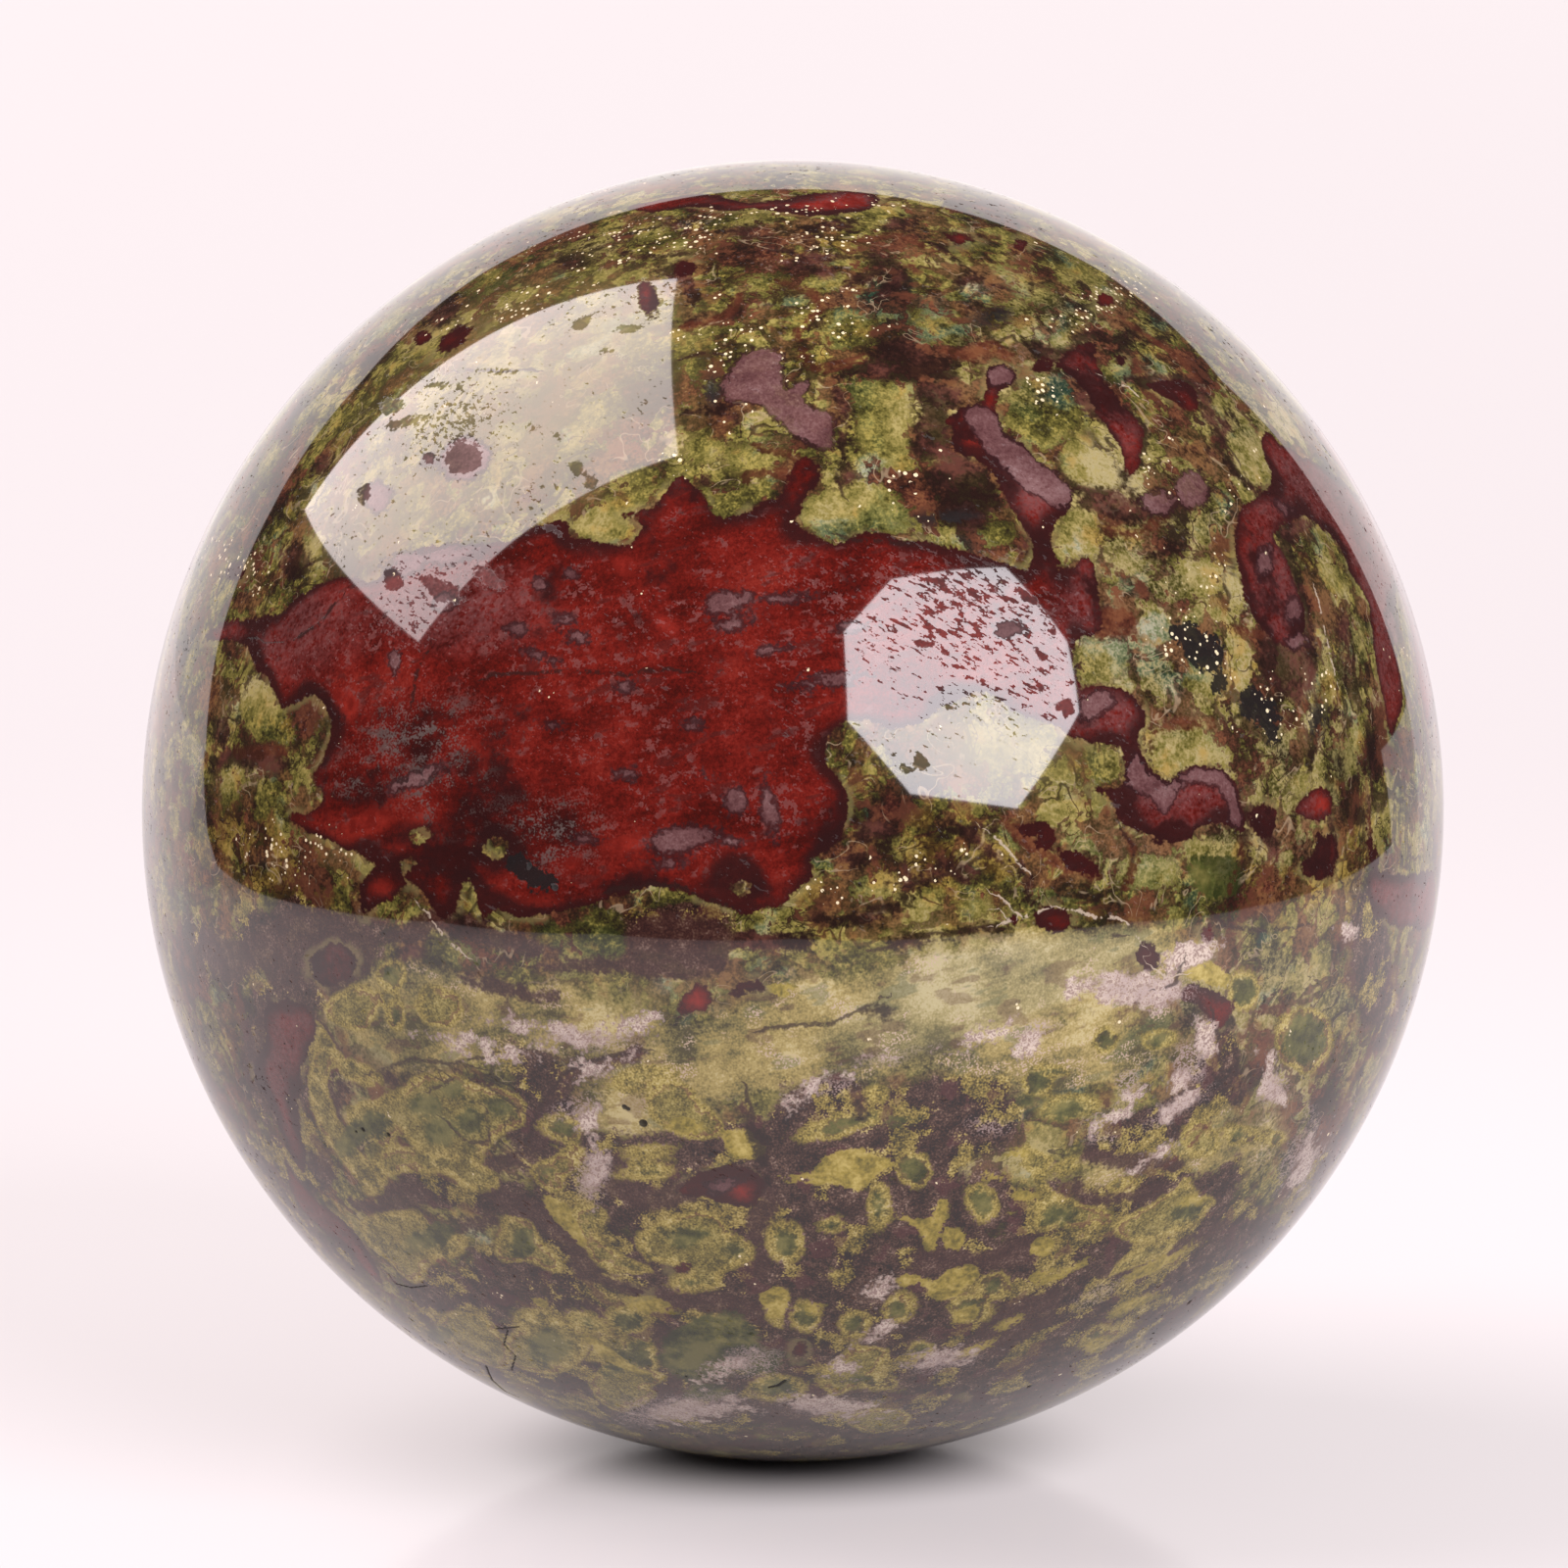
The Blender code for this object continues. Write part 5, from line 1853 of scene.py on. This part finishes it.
purple = paint(purple, (0.055, 0.014, 0.016), both(wine_share, 0.65))

# %% Rock by zone
zone_noise = plus(ragged, 0.65, swing(field("spread"), 1.4))
flow_share = rises(plus(zone_noise, 0.8, field("flow")), 0.36, 0.62)
ground_share = rises(maths("ADD", field("ground"), zone_noise), 0.40, 0.58)
rock = paint(network, band, flow_share)
rock = paint(rock, purple, ground_share)
bank = paint(bank, (0.048, 0.018, 0.016), 0.5)
rock = paint(rock, bank, rises(distance("purple_mm", 1.3), 0.28, -0.16, 0.94))

# %% [markdown]
# ## Islands, cores and leaves
# An island is drawn from two distances: that to its own outline gives the yellow crust of loose grains,
# darker inside, and that to a second outline gives the green core. A leaf is a small yellow patch.

# %% Islands
rimmed = swing(grit, 0.14, distance("rimmed_mm", 0.9))
crust = shades(
    ground_grain,
    (0.28, (0.085, 0.066, 0.014)),
    (0.48, (0.220, 0.168, 0.034)),
    (0.64, (0.350, 0.275, 0.072)),
    (0.84, (0.460, 0.390, 0.170)),
)
heart_share = rises(swing(middling, 0.8, rimmed), -0.30, -0.60)
heart = shades(ground_grain, (0.30, (0.040, 0.036, 0.008)), (0.70, (0.190, 0.160, 0.036)))
crust = paint(crust, heart, both(heart_share, 0.6))
ring_line = maths("ABSOLUTE", maths("ADD", swing(middling, 0.5, rimmed), 0.36))
ring_share = both(rises(ring_line, 0.12, 0.03), rises(field("spread"), 0.46, 0.56))
crust = paint(crust, (0.110, 0.042, 0.024), both(ring_share, 0.7))
rock = paint(rock, crust, rises(rimmed, 0.10, -0.12, 0.92))
core = distance("core_mm", 1.0)
core_colour = shades(
    swing(local, 1.0, field("tint_b")),
    (0.34, (0.018, 0.024, 0.006)),
    (0.52, (0.056, 0.062, 0.014)),
    (0.70, (0.125, 0.118, 0.032)),
)
rock = paint(rock, core_colour, rises(core, 0.16, -0.18, 0.85))
leaf = distance("leaf_mm", 1.0)
leaf_colour = shades(
    swing(fine, 0.5, middling),
    (0.28, (0.110, 0.090, 0.014)),
    (0.50, (0.280, 0.215, 0.036)),
    (0.72, (0.440, 0.350, 0.100)),
)
rock = paint(rock, leaf_colour, rises(leaf, 0.08, -0.08, 0.9))

# %% [markdown]
# ## The red jasper
# The red is dense and even in the middle, dusted with pinkish specks where quartz comes through, and
# darkens to black maroon at its edge, here in a hair line and there in a wide shade. A thin pale line often
# follows its outside.

# %% Red patches
red = distance("red_mm", 0.75)
red_tone = swing(fine, 0.45, swing(middling, 0.30, swing(smeared, 0.55, swing(field("broad"), 0.6, 0.5))))
red_tone = swing(grit, 0.25, red_tone)
jasper = shades(
    red_tone,
    (0.24, (0.040, 0.004, 0.003)),
    (0.42, (0.082, 0.006, 0.004)),
    (0.56, (0.122, 0.009, 0.006)),
    (0.76, (0.170, 0.017, 0.011)),
)
dust_here = plus(field("pink"), 0.24, swing(smeared, 1.6, field("tint_a")))
flakes = swing(grit, 0.25, grain(0.55, 2.0, 0.6))
dust = both(rises(flakes, 0.54, 0.62), rises(dust_here, 0.50, 0.72))
jasper = paint(jasper, (0.150, 0.052, 0.048), both(dust, 0.65))
jasper = paint(jasper, (0.050, 0.005, 0.004), rises(flakes, 0.42, 0.34, 0.4))
jasper = paint(jasper, (0.046, 0.009, 0.008), rises(smeared, 0.585, 0.66, 0.6))
dusty_share = both(field("dusty"), rises(swing(fine, 0.8, swing(middling, 0.8)), -0.30, 0.18))
dusty = shades(red_tone, (0.30, (0.060, 0.020, 0.020)), (0.70, (0.140, 0.056, 0.055)))
jasper = paint(jasper, dusty, both(dusty_share, 0.75))
cloud_place = plus(field("cloud"), 0.42, swing(middling, 0.8, field("tint_b")))
cloud_share = rises(swing(flakes, 0.6, cloud_place), 0.60, 1.02)
jasper = paint(jasper, (0.020, 0.005, 0.005), both(cloud_share, 0.90))
wisp_share = both(field("wisp"), rises(swing(grit, 0.5, swing(flakes, 0.6, smeared)), 0.48, 0.72))
jasper = paint(jasper, (0.110, 0.086, 0.078), both(wisp_share, 0.7))
scarlet = distance("scarlet_mm", 1.1)
scarlet_colour = shades(middling, (0.38, (0.120, 0.009, 0.006)), (0.60, (0.225, 0.019, 0.012)))
jasper = paint(jasper, scarlet_colour, rises(scarlet, 0.20, -0.20, 0.85))
mauve = distance("mauve_mm", 1.0)
chalk = shades(
    red_tone,
    (0.30, (0.070, 0.027, 0.028)),
    (0.52, (0.118, 0.054, 0.054)),
    (0.76, (0.180, 0.100, 0.098)),
)
jasper = paint(jasper, chalk, rises(swing(flakes, 1.2, mauve), 0.22, -0.30, 0.72))
edge_depth = maths("MAXIMUM", swing(field("spread"), 3.0, 0.36), 0.10)
edge_share = rises(maths("ADD", red, edge_depth), -0.55, 0.26)
jasper = paint(jasper, (0.020, 0.006, 0.006), both(edge_share, 0.88))

halo = both(rises(red, 0.50, 0.16), rises(field("tint_c"), 0.48, 0.58))
rock = paint(rock, (0.250, 0.210, 0.080), both(halo, 0.32))
dark = distance("dark_mm", 1.3)
dark_rock = shades(
    swing(fine, 0.4, swing(local, 0.9, field("tint_a"))),
    (0.36, (0.013, 0.006, 0.005)),
    (0.54, (0.030, 0.011, 0.009)),
    (0.72, (0.085, 0.030, 0.022)),
)
rock = paint(rock, dark_rock, rises(dark, 0.24, -0.18, 0.88))
rust = distance("rust_mm", 1.2)
rust_colour = shades(
    swing(fine, 0.5, swing(local, 0.9, field("tint_b"))),
    (0.34, (0.040, 0.012, 0.007)),
    (0.52, (0.078, 0.022, 0.012)),
    (0.74, (0.140, 0.050, 0.022)),
)
rock = paint(rock, rust_colour, rises(rust, 0.20, -0.12, 0.85))
marked = paint(rock, jasper, rises(red, 0.07, -0.07))
free_mauve = paint(marked, chalk, rises(mauve, 0.05, -0.07, 0.9))
mauve_line = both(rises(mauve, 0.24, 0.06), rises(mauve, -0.14, 0.02))
marked = paint(free_mauve, (0.024, 0.008, 0.009), both(mauve_line, 0.75))

# %% [markdown]
# ## White sugar, veins, glints and black pits
# The last layers are the smallest. The glints are painted: pyrite grains of a tenth of a millimetre or two,
# drawn as the middles of random cells, only where the stone has them, in a colour light enough to stand in
# for their sparkle.

# %% White and veins
white = swing(grit, 0.35, distance("white_mm", 2.2))
sugar_share = both(rises(white, 0.20, -0.16), rises(swing(fine, 0.9, swing(white, -0.4, grit)), 0.20, 0.44))
sugar = shades(swing(grit, 0.8, fine), (0.35, (0.270, 0.190, 0.165)), (0.60, (0.560, 0.460, 0.390)))
marked = paint(marked, sugar, both(sugar_share, 0.9))
lavender = swing(grit, 0.5, distance("lavender_mm", 2.0))
lavender_grains = rises(swing(middling, 0.8, swing(fine, 1.0, grit)), 0.42, 0.66)
lavender_share = both(rises(lavender, 0.20, -0.40), lavender_grains)
marked = paint(marked, (0.300, 0.225, 0.215), both(lavender_share, 0.75))


def drawn_vein(below, name, colour, half_width, strength):
    """Lays a thin vein over a colour, where its side changes and the vein is near."""
    side = maths("ABSOLUTE", plus(ragged, 0.6, field(name + "_side")))
    near = both(rises(field(name + "_mm"), 1.0, 0.6), rises(swing(fine, 0.4, middling), 0.40, 0.50))
    return paint(below, colour, both(both(rises(side, half_width * 1.6, half_width * 0.4), near), strength))


marked = drawn_vein(marked, "dark_vein", (0.022, 0.009, 0.008), 0.12, 0.8)
marked = drawn_vein(marked, "white_vein", (0.420, 0.340, 0.260), 0.065, 0.8)

# %% Black pits and glints
pit_share = both(rises(plus(field("black"), 0.36, swing(fine, 0.7, middling)), 0.66, 0.76), field("black"))
pit_share = maths("MAXIMUM", pit_share, rises(distance("black_mm", 1.5), 0.10, -0.06))
marked = paint(marked, (0.012, 0.010, 0.010), both(pit_share, 0.95))


def glints(size_mm, chosen, largest):
    """The share of painted glints: pale pyrite grains in the middles of random cells, where the stone has
    them.
    """
    step = tree.nodes.new("ShaderNodeTexVoronoi")
    plug(step.inputs["Vector"], even_place)
    plug(step.inputs["Scale"], 1 / size_mm)
    parts = tree.nodes.new("ShaderNodeSeparateColor")
    plug(parts.inputs[0], step.outputs["Color"])
    here = rises(plus(field("glint"), 0.42, swing(middling, 1.0, field("tint_c"))), 0.74, 0.98)
    size = maths("MULTIPLY", parts.outputs["Red"], largest)
    grains = rises(maths("SUBTRACT", step.outputs["Distance"], size), 0.0, -0.08)
    picked = rises(plus(here, 0.5, parts.outputs["Green"]), chosen, chosen + 0.06)
    return both(both(both(grains, picked), rises(here, 0.02, 0.25)), rises(mauve, -0.10, 0.10))


# painted glints: pyrite grains in a colour light enough to stand in for their sparkle
marked = paint(marked, (0.700, 0.600, 0.390), glints(0.27, 0.88, 0.50))
hollow_share = rises(field("hollow_mm"), 0.03, -0.03)
marked = paint(marked, (0.010, 0.008, 0.007), both(hollow_share, 0.92))
plug(surface.inputs["Base Color"], marked)

# %% [markdown]
# ## Polish
# The polish is close to a mirror. It fails in small flecks, where iron oxide is softer than the quartz
# around it, and in the pits. That is why the softbox reflections are peppered with specks of the stone's
# own colour.

# %% Roughness
fleck_place = place_mm(stretch=(2.6, 1.4, 0.9), turn=(0.0, 28.0, 0.0))
fleck_noise = swing(grit, 0.15, grain(0.26, 2.0, 0.66, 0.0, fleck_place))
fleck_noise = plus(field("fleck"), 0.135, fleck_noise)
fleck_noise = swing(field("spread"), 0.22, plus(rises(red, 0.1, -0.3), 0.012, fleck_noise))
fleck_share = rises(fleck_noise, 0.690, 0.715)
fleck_share = maths("MAXIMUM", fleck_share, rises(distance("fleck_mm", 0.8), 0.05, -0.05))
roughness = plus(middling, 0.03, 0.022)
roughness = maths("MAXIMUM", roughness, both(fleck_share, 0.9))
roughness = maths("MAXIMUM", roughness, both(hollow_share, 0.8))
roughness = maths("MAXIMUM", roughness, both(pit_share, 0.15))
plug(surface.inputs["Roughness"], roughness)
surface.inputs["IOR"].default_value = 1.60
surface.inputs["Metallic"].default_value = 0.0

stone_mesh.materials.append(stone)
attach(polished_sphere, "root")
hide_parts("jasper_sphere")
print(len(tree.nodes), "shader nodes")
